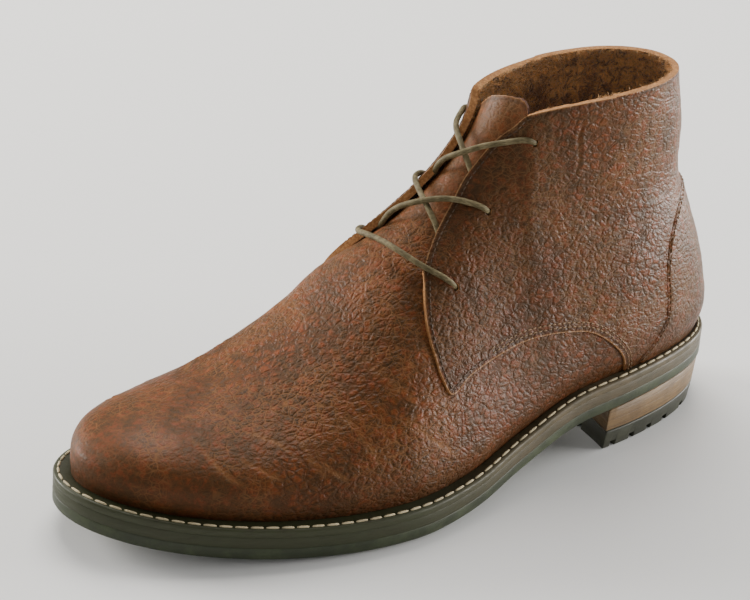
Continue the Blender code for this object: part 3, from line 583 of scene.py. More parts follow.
def smooth_line(points, count):
    """A smooth open line through a few points."""
    points = np.array(points, float)
    marks = length_along(points)
    at = np.linspace(0, marks[-1], count)
    return np.stack([smooth_curve(marks, points[:, k], at) for k in range(points.shape[1])], 1)


def signed_distance(points, polygon):
    """Distance of points in a plane from a closed outline, positive inside it."""
    start, stop = polygon, np.roll(polygon, -1, 0)
    run = stop - start
    best = np.full(len(points), 1e9)
    inside = np.zeros(len(points), bool)
    for a, b, d in zip(start, stop, run):
        t = np.clip(((points - a) @ d) / max(d @ d, 1e-18), 0, 1)
        best = np.minimum(best, np.linalg.norm(points - a - t[:, None] * d, axis=1))
        crosses = (a[1] > points[:, 1]) != (b[1] > points[:, 1])
        with np.errstate(divide="ignore", invalid="ignore"):
            at = a[0] + (points[:, 1] - a[1]) * d[0] / d[1]
        inside ^= crosses & (points[:, 0] < at)
    return np.where(inside, best, -best)


def clip_faces(verts, faces, value):
    """Keep the part of a surface where value is positive, cutting faces along its zero line."""
    keep, made, points = [], {}, [tuple(v) for v in verts]

    def crossing(a, b):
        key = (min(a, b), max(a, b))
        if key not in made:
            t = value[a] / (value[a] - value[b])
            made[key] = len(points)
            points.append(tuple(verts[a] + (verts[b] - verts[a]) * t))
        return made[key]

    for face in faces:
        signs = [value[k] > 0 for k in face]
        if all(signs):
            keep.append(face)
        elif any(signs):
            loop = []
            for k, n in zip(face, face[1:] + face[:1]):
                if value[k] > 0:
                    loop.append(k)
                if (value[k] > 0) != (value[n] > 0):
                    loop.append(crossing(k, n))
            if len(loop) > 2:
                keep.append(tuple(loop))
    used = sorted({k for face in keep for k in face})
    index = {k: i for i, k in enumerate(used)}
    return [points[k] for k in used], [tuple(index[k] for k in face) for face in keep]


@contextmanager
def mesh_edit(mesh):
    """A mesh opened for editing, and written back at the end."""
    work = bmesh.new()
    work.from_mesh(mesh)
    yield work
    work.to_mesh(mesh)
    work.free()


def add_object(name, data):
    item = bpy.data.objects.new(name, data)
    bpy.context.scene.collection.objects.link(item)
    return item


def add_mesh(name, verts, faces, materials=(), smooth_angle=40):
    mesh = bpy.data.meshes.new(name)
    mesh.from_pydata([tuple(map(float, v)) for v in verts], [], [tuple(map(int, f)) for f in faces])
    with mesh_edit(mesh) as work:
        bmesh.ops.remove_doubles(work, verts=work.verts, dist=0.000004)
        bmesh.ops.recalc_face_normals(work, faces=work.faces)
    item = add_object(name, mesh)
    for material in materials:
        mesh.materials.append(material)
    shade(item, smooth_angle)
    return item


def shade(item, angle):
    for polygon in item.data.polygons:
        polygon.use_smooth = True
    item.data.set_sharp_from_angle(angle=math.radians(angle))


def bake(item):
    """Apply all modifiers of an object to its mesh."""
    bpy.context.view_layer.update()
    graph = bpy.context.evaluated_depsgraph_get()
    mesh = bpy.data.meshes.new_from_object(item.evaluated_get(graph))
    item.modifiers.clear()
    item.data = mesh
    return item


def boolean(target, tool, operation):
    """Cut a tool from target or join it on, and remove the tool."""
    modifier = target.modifiers.new(operation.title(), "BOOLEAN")
    modifier.operation = operation
    modifier.solver = "EXACT"
    modifier.object = tool
    bake(target)
    bpy.data.objects.remove(tool)


def finish_block(item, material, node):
    """Give a cut block its one material and eased edges, and put it in the frame."""
    item.data.materials.clear()
    item.data.materials.append(material)
    modifier = item.modifiers.new("Bevel", "BEVEL")
    modifier.width = EDGE_ROUND
    modifier.segments = 1
    modifier.limit_method = "ANGLE"
    modifier.angle_limit = math.radians(50)
    modifier.harden_normals = False
    bake(item)
    shade(item, 50)
    place(item, node)


def place(item, *nodes):
    """Fix a piece to the boot's one body, in place of CAD nodes."""
    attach(item, "root")
    if nodes:
        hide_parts(*nodes)


class Surface:
    """A surface that stitches are set on."""

    def __init__(self, points):
        self.tree = BVHTree.FromPolygons([tuple(p) for p in points], FACES)

    def settle(self, point):
        """The surface's nearest place to a point, and its outward normal."""
        spot, normal, _, _ = self.tree.find_nearest(Vector(point))
        if normal.dot(Vector(point) - LAST_MIDDLE) < 0:
            normal = -normal
        return spot, normal

    def row(self, points):
        """Spots for a row of seam stitches along points, as (place, direction, normal)."""
        settled = [np.array(self.settle(p)[0]) for p in points]
        spots = []
        for point, along in along_line(settled, SEAM_PITCH):
            spot, normal = self.settle(point)
            spots.append((spot, along, normal))
        return spots


def capsules(name, spots, size, material):
    """Many small rounded bars as one mesh. Each spot is (place, direction, normal)."""
    length, width, height = size
    ring = [(math.cos(a), math.sin(a)) for a in np.linspace(0, 2 * math.pi, 8, endpoint=False)]
    profile = [(-1.0, 0.35), (-0.78, 0.85), (-0.35, 1.0), (0.35, 1.0), (0.78, 0.85), (1.0, 0.35)]
    bar = with_end_faces(len(profile), len(ring))
    verts, faces = [], []
    for spot, along, normal in spots:
        along = Vector(along).normalized()
        normal = Vector(normal).normalized()
        side = along.cross(normal).normalized()
        normal = side.cross(along).normalized()
        faces += [tuple(len(verts) + k for k in face) for face in bar]
        for t, share in profile:
            for c, s in ring:
                verts.append(Vector(spot) + along * (t * length / 2) + side * (c * width / 2 * share)
                             + normal * (s * height / 2 * share))
    place(add_mesh(name, verts, faces, [material], 60))


def with_end_faces(rows, count):
    """Faces of a closed round bar: its side as a grid, and one flat face at each end."""
    return grid_faces(rows, count) + [tuple(range(count)), tuple(range((rows - 1) * count, rows * count))]


def along_line(points, pitch):
    """Evenly spaced places and directions along a line of points."""
    points = np.array(points, float)
    run = length_along(points)
    count = max(int(run[-1] / pitch), 1)
    spots = []
    for mark in (np.arange(count) + 0.5) * run[-1] / count:
        here, ahead, behind = (np.array([np.interp(m, run, points[:, k]) for k in range(3)])
                               for m in (mark, mark + pitch * 0.3, mark - pitch * 0.3))
        spots.append((here, ahead - behind))
    return spots


def tube(name, path, radius, material, sides):
    """A round cord along a path. Its ring turns with the path, and its ends are flat."""
    path = [Vector(p) for p in path]
    last = len(path) - 1
    tangent = [(path[min(k + 1, last)] - path[max(k - 1, 0)]).normalized() for k in range(len(path))]
    side = tangent[0].orthogonal().normalized()
    verts = []
    for point, along in zip(path, tangent):
        side = (side - along * side.dot(along)).normalized()
        other = along.cross(side)
        for a in np.linspace(0, 2 * math.pi, sides, endpoint=False):
            verts.append(point + (side * math.cos(a) + other * math.sin(a)) * radius)
    return add_mesh(name, verts, with_end_faces(len(path), sides), [material], 60)


LAST_MIDDLE = Vector((AXIS_X, 0.02, 0.045))
VAMP_DEPTH = QUARTER_STEP / 2
QUARTER_DEPTH = -QUARTER_STEP / 2
QUARTER_WALL = WALL + QUARTER_STEP
TONGUE_DEPTH = VAMP_DEPTH + WALL + TONGUE_CLEARANCE


# Materials

class Nodes:
    """Short calls for building a node material."""

    def __init__(self, name, roughness=0.5, specular=0.5):
        self.material = bpy.data.materials.new(name)
        self.material.use_nodes = True
        self.tree = self.material.node_tree
        self.shader = self.tree.nodes["Principled BSDF"]
        self.shader.inputs["Roughness"].default_value = roughness
        self.shader.inputs["Specular IOR Level"].default_value = specular
        self.where = self.tree.nodes.new("ShaderNodeTexCoord").outputs["Object"]

    def link(self, value, socket):
        if isinstance(value, bpy.types.NodeSocket):
            self.tree.links.new(value, socket)
        else:
            socket.default_value = value

    def node(self, kind, **values):
        made = self.tree.nodes.new(kind)
        for key, value in values.items():
            if hasattr(made, key):
                setattr(made, key, value)
            else:
                self.link(value, made.inputs[key.replace("_", " ")])
        return made

    def noise(self, scale, detail=3.0, roughness=0.55, where=None, distortion=0.0):
        made = self.node("ShaderNodeTexNoise", Scale=scale, Detail=detail, Roughness=roughness,
                         Distortion=distortion)
        self.link(where or self.where, made.inputs["Vector"])
        return made.outputs["Fac"]

    def cell_edges(self, scale, where):
        """Distance to the nearest border between cells."""
        made = self.node("ShaderNodeTexVoronoi", feature="DISTANCE_TO_EDGE", Scale=scale, Randomness=1.0)
        self.link(where, made.inputs["Vector"])
        return made.outputs["Distance"]

    def math(self, operation, *values, clamp=False):
        """A math node. More than two values go through one node after the other."""
        made = self.node("ShaderNodeMath", operation=operation, use_clamp=clamp)
        for value, socket in zip(values, made.inputs):
            self.link(value, socket)
        if len(values) > 2:
            return self.math(operation, made.outputs[0], *values[2:])
        return made.outputs[0]

    def times(self, *values):
        return self.math("MULTIPLY", *values)

    def plus(self, *values):
        return self.math("ADD", *values)

    def spread(self, value, low, high, to_low=0.0, to_high=1.0):
        """A smooth step of value from low to high."""
        made = self.node("ShaderNodeMapRange", interpolation_type="SMOOTHSTEP")
        for item, socket in zip((value, low, high, to_low, to_high), made.inputs):
            self.link(item, socket)
        return made.outputs[0]

    def fade(self, value, low, high, start=1.0):
        """A smooth step of value that falls to nothing at high."""
        return self.spread(value, low, high, start, 0.0)

    def mix(self, share, a, b):
        """The share of colour b over colour a. Colours are outputs or red, green and blue."""
        made = self.node("ShaderNodeMix", data_type="RGBA", blend_type="MIX")
        self.link(share, made.inputs[0])
        for value, socket in zip((a, b), (made.inputs[6], made.inputs[7])):
            self.link((*value, 1.0) if isinstance(value, tuple) else value, socket)
        return made.outputs[2]

    def stain(self, base, colour, *shares):
        """A colour over base, as strong as the product of the shares."""
        return self.mix(self.times(*shares) if len(shares) > 1 else shares[0], base, colour)

    def part(self, axis):
        made = self.node("ShaderNodeSeparateXYZ")
        self.link(self.where, made.inputs[0])
        return made.outputs[axis]

    def stretch(self, x, y, z, warp=0.0, warp_scale=60.0):
        """The place on the object, stretched along each axis and warped by a soft noise."""
        vector = self.where
        if warp:
            noise = self.node("ShaderNodeTexNoise", Scale=warp_scale, Detail=2.0)
            self.link(self.where, noise.inputs["Vector"])
            moved = self.node("ShaderNodeVectorMath", operation="MULTIPLY_ADD")
            self.link(noise.outputs["Color"], moved.inputs[0])
            moved.inputs[1].default_value = (warp,) * 3
            self.link(self.where, moved.inputs[2])
            vector = moved.outputs[0]
        scaled = self.node("ShaderNodeVectorMath", operation="MULTIPLY")
        self.link(vector, scaled.inputs[0])
        scaled.inputs[1].default_value = (x, y, z)
        return scaled.outputs[0]

    def paint(self, name):
        """A value painted on the points of the mesh."""
        return self.node("ShaderNodeAttribute", attribute_name=name).outputs["Fac"]

    def colour(self, value):
        self.link(value, self.shader.inputs["Base Color"])

    def rough(self, value):
        self.link(value, self.shader.inputs["Roughness"])

    def bump(self, height, strength, distance):
        made = self.node("ShaderNodeBump", Strength=strength, Distance=distance, Height=height)
        self.link(made.outputs["Normal"], self.shader.inputs["Normal"])


def toned(colour, factor, lift=0.0):
    """A lighter or darker tone of a colour."""
    return tuple(min(v * factor + lift, 1) for v in colour)


def leather(name, grain=1.0, front_shade=False):
    """Tumbled, oiled leather: red brown with painted shade in its hollows, orange where the grain is
    stretched.
    """
    n = Nodes(name, 0.40, 0.14)
    y = n.part(1)
    toe = n.spread(y, -0.150, -0.075)
    rear = n.spread(y, 0.0, 0.05)
    calm = n.paint("calm")
    edge = n.paint("from_edge")
    warped = n.stretch(1.0, 0.80, 1.20, 0.0016, 150.0)
    patch = n.noise(34.0, 4.0, 0.6)
    mottle = n.noise(260.0, 5.0, 0.70)
    fine = n.noise(1500.0, 4.0, 0.65)
    fold = n.noise(300.0, 3.0, 0.55, n.stretch(1.0, 0.55, 1.35, 0.0020, 200.0), 0.6)
    gutter = n.cell_edges(300.0, warped)
    small = n.cell_edges(640.0, warped)
    dome = n.spread(gutter, 0.0, 0.26)
    line = n.fade(gutter, 0.0, 0.075)
    bead = n.spread(small, 0.0, 0.32)
    thin = n.fade(small, 0.0, 0.085)
    lively = n.spread(n.noise(38.0, 3.0), 0.38, 0.60)

    # Patches, flecks and the net of pale lines between the grains
    base = n.mix(n.spread(patch, 0.34, 0.66), (0.132, 0.041, 0.010), (0.082, 0.031, 0.008))
    base = n.stain(base, (0.042, 0.028, 0.010), n.spread(mottle, 0.47, 0.62), 0.55)
    base = n.stain(base, (0.220, 0.046, 0.014), n.spread(mottle, 0.50, 0.36), 0.50)
    net = n.times(n.math("MAXIMUM", line, n.times(thin, 0.7)), n.spread(toe, 0.0, 1.0, 0.50, 0.58))
    tan = n.mix(rear, (0.290, 0.125, 0.044), (0.240, 0.130, 0.056))
    base = n.stain(base, tan, net, n.spread(lively, 0.0, 1.0, 0.35, 1.0))

    # Painted shade in the grain's hollows and folds, painted shade low over the welt that is partly a darker
    # burnish, and the rubbed rims of the creases
    hollow_shade = n.times(n.fade(dome, 0.15, 0.75), n.spread(lively, 0.0, 1.0, 1.0, 0.35))
    # dark is painted shade: the hollows between grains and the troughs of the folds
    dark = n.times(n.math("MAXIMUM", hollow_shade, n.fade(fold, 0.36, 0.50, 0.8)), n.times(toe, 0.50))
    base = n.stain(base, (0.028, 0.015, 0.006), dark)
    # Painted shade low over the welt, partly a darker burnish
    base = n.stain(base, (0.034, 0.014, 0.005), n.paint("burnish_and_shade"), 0.58)
    rubbed = n.times(n.spread(mottle, 0.38, 0.62, 0.35, 1.0), n.spread(rear, 0.0, 1.0, 0.70, 0.22))
    base = n.stain(base, (0.300, 0.130, 0.048), n.paint("rub"), rubbed)
    base = n.stain(base, (0.150, 0.066, 0.026), calm, 0.30)
    # Darker towards the front of the quarters, fading out towards the heel: painted shade, leaving the rear
    # paler where the light falls.
    if front_shade:
        base = n.stain(base, (0.030, 0.014, 0.005), n.fade(y, 0.015, 0.080, 0.34))

    # A pale line along each cut edge, and a painted shadow of the seam's groove beside it
    groove_shadow = n.times(n.spread(edge, 0.26, 0.40), n.fade(edge, 0.50, 0.95))
    base = n.stain(base, (0.030, 0.016, 0.007), groove_shadow, 0.45)
    n.colour(n.stain(base, (0.300, 0.155, 0.066), n.fade(edge, 0.08, 0.17), 0.75))

    n.rough(n.plus(n.times(fine, 0.14), n.spread(y, 0.02, 0.09, 0.07, -0.03), n.times(line, 0.10),
                   n.spread(patch, 0.3, 0.7, 0.29, 0.42)))
    weight = n.times(n.spread(y, -0.140, -0.065, 0.20 * grain, 1.15 * grain),
                     n.spread(calm, 0.0, 1.0, 1.0, 0.45), n.spread(y, -0.02, 0.03, 1.50, 1.0))
    grains = n.plus(n.times(dome, 0.75), n.times(bead, 0.38), n.times(n.spread(fold, 0.34, 0.60), 0.35))
    n.bump(n.plus(n.times(grains, weight), n.times(fine, 0.14)), 1.0, 0.00017)
    return n.material


def suede(name, light, dark):
    """Brushed lining: curled tufts, paler on their tips, with darker patches, and painted shade that darkens
    it lower down inside the boot.
    """
    n = Nodes(name, 0.95, 0.15)
    # patch holds the random patches and a painted shade: darker lower down inside the boot, paler at the
    # collar.
    patch = n.plus(n.noise(95.0, 5.0, 0.7), n.spread(n.part(2), 0.112, 0.146, -0.14, 0.14))
    curl = n.noise(330.0, 4.0, 0.75, n.stretch(1, 1, 1, 0.004, 220.0), 1.4)
    nap = n.noise(1400.0, 4.0, 0.7, n.stretch(1, 1, 1, 0.002, 200.0))
    base = n.mix(n.spread(patch, 0.38, 0.62), dark, light)
    base = n.stain(base, toned(dark, 0.22), n.spread(curl, 0.50, 0.38), 0.80)
    n.colour(n.stain(base, toned(light, 1.45), n.spread(curl, 0.52, 0.66), 0.75))
    n.bump(n.plus(n.times(curl, 1.6), n.times(nap, 0.5)), 1.0, 0.0012)
    n.shader.inputs["Sheen Weight"].default_value = 0.40
    n.shader.inputs["Sheen Roughness"].default_value = 0.5
    return n.material


def raw_edge(name, light, dark):
    """Cut edge of thick leather: fibrous, paler than the face."""
    n = Nodes(name, 0.8, 0.25)
    fibre = n.noise(900.0, 4.0, 0.7)
    patch = n.noise(110.0, 3.0)
    base = n.mix(n.spread(fibre, 0.35, 0.7), dark, light)
    n.colour(n.stain(base, dark, n.spread(patch, 0.4, 0.7), 0.5))
    n.bump(fibre, 0.5, 0.0003)
    return n.material


def sole_leather(name, front, back):
    """Dyed and waxed edge of sole leather: dark at the forefoot, browner at the waist and heel."""
    n = Nodes(name, 0.46, 0.28)
    fibre = n.noise(1.0, 4.0, 0.7, n.stretch(160, 160, 1500))
    patch = n.noise(60.0, 4.0, 0.6)
    base = n.mix(n.spread(n.part(1), -0.045, 0.045), front, back)
    base = n.stain(base, (0.032, 0.032, 0.014), n.spread(patch, 0.35, 0.65), 0.5)
    n.colour(n.stain(base, (0.020, 0.016, 0.009), n.spread(fibre, 0.5, 0.75), 0.5))
    n.rough(n.spread(fibre, 0.3, 0.7, 0.38, 0.60))
    n.bump(n.plus(fibre, n.times(patch, 0.6)), 0.35, 0.0003)
    return n.material


def rubber(name, colour):
    """Moulded rubber with a little pale dust."""
    n = Nodes(name, 0.5, 0.32)
    dust = n.noise(90.0, 4.0, 0.65)
    fine = n.noise(1600.0, 3.0, 0.6)
    n.colour(n.mix(n.spread(dust, 0.4, 0.7), colour, toned(colour, 1.9, 0.004)))
    n.rough(n.spread(dust, 0.3, 0.75, 0.40, 0.62))
    n.bump(n.plus(fine, n.times(dust, 0.8)), 0.25, 0.0002)
    return n.material


def stacked(name, lift):
    """Heel lifts of natural leather, each as thick as lift, with a fine dark line between them."""
    n = Nodes(name, 0.5, 0.35)
    height = n.plus(n.part(2), n.times(n.noise(40.0, 2.0), 0.0006))
    level = n.math("FRACT", n.math("DIVIDE", height, lift))
    line = n.plus(n.fade(level, 0.0, 0.10), n.spread(level, 0.92, 1.0))
    fibre = n.noise(1.0, 5.0, 0.7, n.stretch(110, 110, 1400))
    patch = n.noise(70.0, 4.0, 0.65)
    base = n.mix(n.spread(patch, 0.35, 0.68), (0.190, 0.118, 0.050), (0.125, 0.076, 0.033))
    base = n.stain(base, (0.095, 0.055, 0.026), n.spread(fibre, 0.48, 0.72), 0.6)
    n.colour(n.stain(base, (0.070, 0.036, 0.020), n.math("MULTIPLY", line, 0.45, clamp=True)))
    n.rough(n.spread(fibre, 0.3, 0.7, 0.42, 0.66))
    n.bump(n.math("SUBTRACT", fibre, line), 0.4, 0.0003)
    return n.material


def thread(name, colour, roughness):
    """Plied thread, a little dirty in places."""
    n = Nodes(name, roughness, 0.3)
    ply = n.noise(2600.0, 3.0, 0.6)
    base = n.mix(n.spread(n.noise(120.0, 3.0), 0.42, 0.7), colour, toned(colour, 0.6))
    n.colour(n.stain(base, toned(colour, 0.55), ply, 0.4))
    n.bump(ply, 0.5, 0.0002)
    return n.material


def lace_cord(name):
    """Round waxed lace: a tight braid in khaki brown."""
    n = Nodes(name, 0.60, 0.15)
    u, v = n.paint("braid_u"), n.paint("braid_v")
    one, two = (n.math("ABSOLUTE", n.math("SINE", n.math(way, u, v))) for way in ("ADD", "SUBTRACT"))
    braid = n.math("MAXIMUM", one, two)
    base = n.mix(n.spread(n.noise(240.0, 3.0), 0.38, 0.68), (0.104, 0.084, 0.041), (0.190, 0.155, 0.082))
    # Darker where the braid's strands dip between each other: painted shade in its grooves.
    n.colour(n.stain(base, (0.040, 0.026, 0.014), n.fade(braid, 0.55, 0.95, 0.35)))
    n.bump(braid, 0.35, 0.0002)
    return n.material


LEATHER = leather("tumbled_leather", front_shade=True)
LEATHER_SMOOTH = leather("tongue_and_vamp_leather", 0.9)
LINING = suede("suede_lining", (0.66, 0.345, 0.115), (0.23, 0.094, 0.026))
TONGUE_LINING = suede("tongue_lining", (0.20, 0.085, 0.034), (0.10, 0.042, 0.018))
INSOLE_SUEDE = suede("insole_cover", (0.17, 0.085, 0.040), (0.075, 0.036, 0.018))
CUT_EDGE = raw_edge("cut_edge", (0.52, 0.27, 0.105), (0.27, 0.115, 0.040))
DARK_EDGE = raw_edge("inked_edge", (0.115, 0.042, 0.020), (0.055, 0.020, 0.010))
WELT_TOP = sole_leather("welt_leather", (0.034, 0.038, 0.016), (0.110, 0.084, 0.046))
MIDSOLE_LEATHER = sole_leather("midsole_leather", (0.030, 0.034, 0.014), (0.085, 0.066, 0.037))
SOLE_RUBBER = rubber("outsole_rubber", (0.022, 0.028, 0.012))
HEEL_RUBBER = rubber("heel_rubber", (0.019, 0.020, 0.011))
HEEL_STACK = stacked("stacked_leather", 0.0036)
WELT_THREAD = thread("welt_thread", (0.56, 0.47, 0.29), 0.7)
SEAM_THREAD = thread("seam_thread", (0.240, 0.140, 0.066), 0.6)
DARK_THREAD = thread("dark_thread", (0.085, 0.048, 0.024), 0.6)
LACE_CORD = lace_cord("lace_cord")


# Upper

def paint(item, name, values):
    """A named value on each point of a piece, for its material to read."""
    layer = item.data.attributes.new(name, "FLOAT", "POINT")
    layer.data.foreach_set("value", np.asarray(values, np.float32))


def fine_grid():
    """The last's surface as a fine grid of rings from the welt to the collar."""
    levels = np.concatenate([[0, 0.006, 0.014, 0.024, 0.036], np.linspace(0.05, 0.992, UP - 8),
                             [1.008, 1.020, 1.030]])
    rings = np.array([last_ring(level, AROUND) for level in levels])
    floor = rings[0].copy()
    rings = smooth_rings(rings, 3)
    rings[0] = floor
    return levels, rings


RING_LEVELS, RINGS = fine_grid()
NORMALS = ring_normals(RINGS)
POINTS = RINGS.reshape(-1, 3)
OUTWARD = NORMALS.reshape(-1, 3)
FACES = grid_faces(*RINGS.shape[:2])

GRID_LEVEL = np.repeat(RING_LEVELS, RINGS.shape[1])
PLACE_LEVEL, SIGNED_REACH, PLACE_GAP = ridge_places(POINTS)


def point_tree():
    """The grid's points, set up for finding the nearest one."""
    tree = KDTree(len(POINTS))
    for number, point in enumerate(POINTS):
        tree.insert(point, number)
    tree.balance()
    return tree


POINT_TREE = point_tree()


def side_line(rows, base, height, count):
    """A smooth line seen from the side, as (y, z), through rows of station and height."""
    return smooth_line([(float(station_y(r.station)), float(base) + height * r.height) for r in rows], count)


EDGE_LINE = side_line(QUARTER_EDGE, welt_top(0.0), INSTEP, 160)


def behind_edge_line():
    """How far each point of the grid lies behind the quarter's front and arched edge."""
    first, last = EDGE_LINE[0], EDGE_LINE[-1]
    out = ridge_frame(THROAT[0].level)[3] * INSTEP * 0.5
    front = np.concatenate([
        [first + out], EDGE_LINE,
        [(last[0], -INSTEP), (-SOLE_LENGTH, -INSTEP), (-SOLE_LENGTH, first[1] + out[1])]])
    return -signed_distance(POINTS[:, 1:], front)


FROM_EDGE = behind_edge_line()
BESIDE_THROAT = (PLACE_LEVEL >= THROAT[0].level - 0.01) & (PLACE_GAP < 0.04)
THROAT_HERE = throat_reach(np.clip(PLACE_LEVEL, THROAT[0].level, THROAT[-1].level))
FROM_THROAT = np.where(BESIDE_THROAT, np.abs(SIGNED_REACH) - THROAT_HERE, 0.05)
FROM_TOP = (1.0 - GRID_LEVEL) * LEVEL_LENGTH


def inside_quarter():
    """Distance of each point of the grid from the quarter's cut edges, positive inside it."""
    rounded = CORNER - np.hypot(CORNER - np.minimum(FROM_THROAT, CORNER),
                                CORNER - np.minimum(FROM_TOP, CORNER))
    at_corner = (FROM_THROAT < CORNER) & (FROM_TOP < CORNER)
    return np.minimum(FROM_EDGE, np.where(at_corner, rounded, np.minimum(FROM_THROAT, FROM_TOP)))


QUARTER_VALUE = inside_quarter()


# Creases on the outer side, as (y, z) in millimetres, and how deep each is
CREASES = table(
    "depth points",
    (0.45, [(-111, 42), (-110, 41), (-109, 38), (-106, 34), (-102, 31)]),
    (0.34, [(-99, 38), (-96, 36), (-92, 34), (-88, 32)]),
    (0.60, [(-75, 42), (-75, 38), (-75, 36), (-73, 33), (-71, 30)]),
    (0.60, [(-72, 40), (-71, 35), (-68, 32), (-64, 29)]),
    (0.42, [(-60, 49), (-57, 47), (-55, 44), (-53, 39), (-50, 33)]),
    (0.30, [(-42, 63), (-40, 60), (-38, 57), (-33, 53), (-29, 49)]),
    (0.34, [(-40, 48), (-33, 43), (-23, 34), (-13, 26)]),
    (0.24, [(-90, 42), (-86, 41), (-81, 39), (-79, 37)]),
    (0.50, [(60, 138), (58, 132), (59, 125), (58, 118)]),
    (0.34, [(31, 116), (37, 113), (45, 111), (52, 107), (62, 105)]),
    (0.34, [(33, 107), (42, 104), (51, 97), (58, 93)]),
    (0.36, [(58, 118), (66, 112), (76, 111), (87, 112), (99, 111)]),
    (0.34, [(66, 104), (76, 102), (91, 101), (106, 99)]),
    (0.36, [(48, 82), (61, 82), (75, 82), (90, 83)]),
    (0.40, [(62, 141), (67, 137), (73, 135), (81, 132)]),
    (0.34, [(19, 98), (26, 93), (36, 90), (48, 91)]),
    (0.30, [(20, 78), (32, 74), (46, 72), (60, 73)]),
    (0.30, [(64, 90), (78, 91), (94, 92), (108, 90)]),
    (0.30, [(70, 124), (80, 122), (92, 123), (104, 121)]))


def crease_lines():
    """Each crease's depth and its line on the last. The inner side has them turned and shifted."""
    for side in (1, -1):
        for k, row in enumerate(CREASES):
            line = np.array(row.points, float) / 1000
            if side < 0:
                shift = np.array([0.004 * (k % 4) - 0.006, 0.002 * (k % 3) - 0.002])
                line = line[::1 if k % 3 else -1] + shift
            line = smooth_line(line, 24)
            centre, half = last_section(line[:, 0], line[:, 1])
            yield row.depth / 1000, np.column_stack([centre + side * half, line])


def crease_field(points):
    """How far each point sinks in the creases, and how much each is rubbed pale along them."""
    sink = np.zeros(len(points))
    rub = np.zeros(len(points))
    for depth, line in crease_lines():
        near = np.linalg.norm(points[:, None] - line[None, ::6], axis=2).min(1) < 0.03
        if not near.any():
            continue
        gap = np.linalg.norm(points[near][:, None] - line[None], axis=2)
        share = np.sin(np.clip((gap.argmin(1) + 0.5) / len(line), 0, 1) * math.pi) ** 0.6
        gap = gap.min(1) / CREASE_WIDTH
        sink[near] += depth * share * (np.exp(-gap ** 2) - 0.45 * np.exp(-(gap - 2.2) ** 2))
        rub[near] = np.maximum(rub[near], np.exp(-(gap / 1.1) ** 2) * share)
    return sink, rub


def waves(points):
    """Soft long waves of tumbled leather, flatter towards the toe."""
    lively = ease((points[:, 1] + 0.12) / 0.10)
    made = [noise.fractal((x * 90, y * 70, z * 170), 1.0, 2.1, 3) for x, y, z in points]
    return np.array(made) * 0.00022 * (0.3 + 0.7 * lively)


SINK, RUB = crease_field(POINTS)
HEIGHT_OVER_WELT = POINTS[:, 2] - welt_top(POINTS[:, 1])
# Darker low on the upper, over the welt: painted shade, partly a darker burnish of the leather.
BURNISH_AND_SHADE = 0.85 * ease(1 - HEIGHT_OVER_WELT / 0.030) + 0.35 * ease(1 - HEIGHT_OVER_WELT / 0.008)
RELIEF = (SINK + waves(POINTS)) * ease((HEIGHT_OVER_WELT - 0.002) / 0.004)


def from_eyelets(points):
    """Distance of points from the rims of the eyelet holes, positive outside them."""
    best = np.full(len(points), 1.0)
    for row in EYELETS:
        for side in (1, -1):
            spot, axis = on_last(row.level, THROAT_WIDTH * row.reach, side, 0.0)
            away = points - spot
            along = away @ axis
            off = np.linalg.norm(away - along[:, None] * axis, axis=1)
            best = np.minimum(best, np.where(np.abs(along) < 0.02, off - EYELET_BORE * 0.42, 1.0))
    return best


def moved(depth):
    """All grid points at a depth in the last."""
    points = POINTS - OUTWARD * (np.broadcast_to(depth, len(POINTS)) + RELIEF)[:, None]
    floor = welt_top(points[:, 1]) + 0.0001
    points[:, 2] = np.maximum(points[:, 2], floor)
    return points


def thicken(item, depth, materials):
    """Turn an open surface into a wall that reaches inwards. Materials: outside, inside, edge."""
    for material in materials:
        item.data.materials.append(material)
    modifier = item.modifiers.new("Wall", "SOLIDIFY")
    modifier.thickness = depth
    modifier.offset = -1
    modifier.use_even_offset = False
    modifier.material_offset = 1
    modifier.material_offset_rim = 2
    bake(item)


def outward_faces(item):
    """Turn all faces of an open surface away from the middle of the last."""
    with mesh_edit(item.data) as work:
        bmesh.ops.recalc_face_normals(work, faces=work.faces)
        total = sum(face.normal.dot(face.calc_center_median() - LAST_MIDDLE) for face in work.faces)
        if total < 0:
            bmesh.ops.reverse_faces(work, faces=work.faces)


def open_edge(item):
    """True at the points of a surface's open edge."""
    work = bmesh.new()
    work.from_mesh(item.data)
    edge = np.array([v.is_boundary for v in work.verts])
    work.free()
    return edge


def points_of(item):
    """The points of a piece's mesh."""
    return np.array([v.co[:] for v in item.data.vertices])


def nearest_points(places):
    """For each place, the number of the grid's nearest point."""
    return np.array([POINT_TREE.find(spot)[1] for spot in places])


def upper_piece(name, points, value, wall, materials, edge_line=True):
    """A leather piece: the part of the grid where value is positive, made thick and painted.

    With edge_line, a pale line and a painted shadow of the seam groove follow its cut edge."""
    item = add_mesh(name, *clip_faces(points, FACES, value))
    outward_faces(item)
    places = points_of(item)
    from_edge = np.clip(value[nearest_points(places)] / EDGE_REACH, 0, 1)
    from_edge[open_edge(item)] = 0
    low = places[:, 2] < welt_top(places[:, 1]) + WELT_MARGIN
    from_edge[(from_eyelets(places) < EYELET_MARGIN) | low] = 1
    paint(item, "from_edge", from_edge if edge_line else np.ones(len(places)))
    thicken(item, wall, materials)
    shade(item, 42)
    nearest = nearest_points(points_of(item))
    paint(item, "rub", RUB[nearest])
    paint(item, "burnish_and_shade", np.minimum(BURNISH_AND_SHADE[nearest], 1))
    place(item)
    return item


def tongue_top(reach):
    """Ridge level of the tongue's rounded top edge. The tongue leans to the outer side."""
    return 1.013 - 85.0 * (reach - 0.009) ** 2 - 1500.0 * np.maximum(reach - 0.0130, 0) ** 2


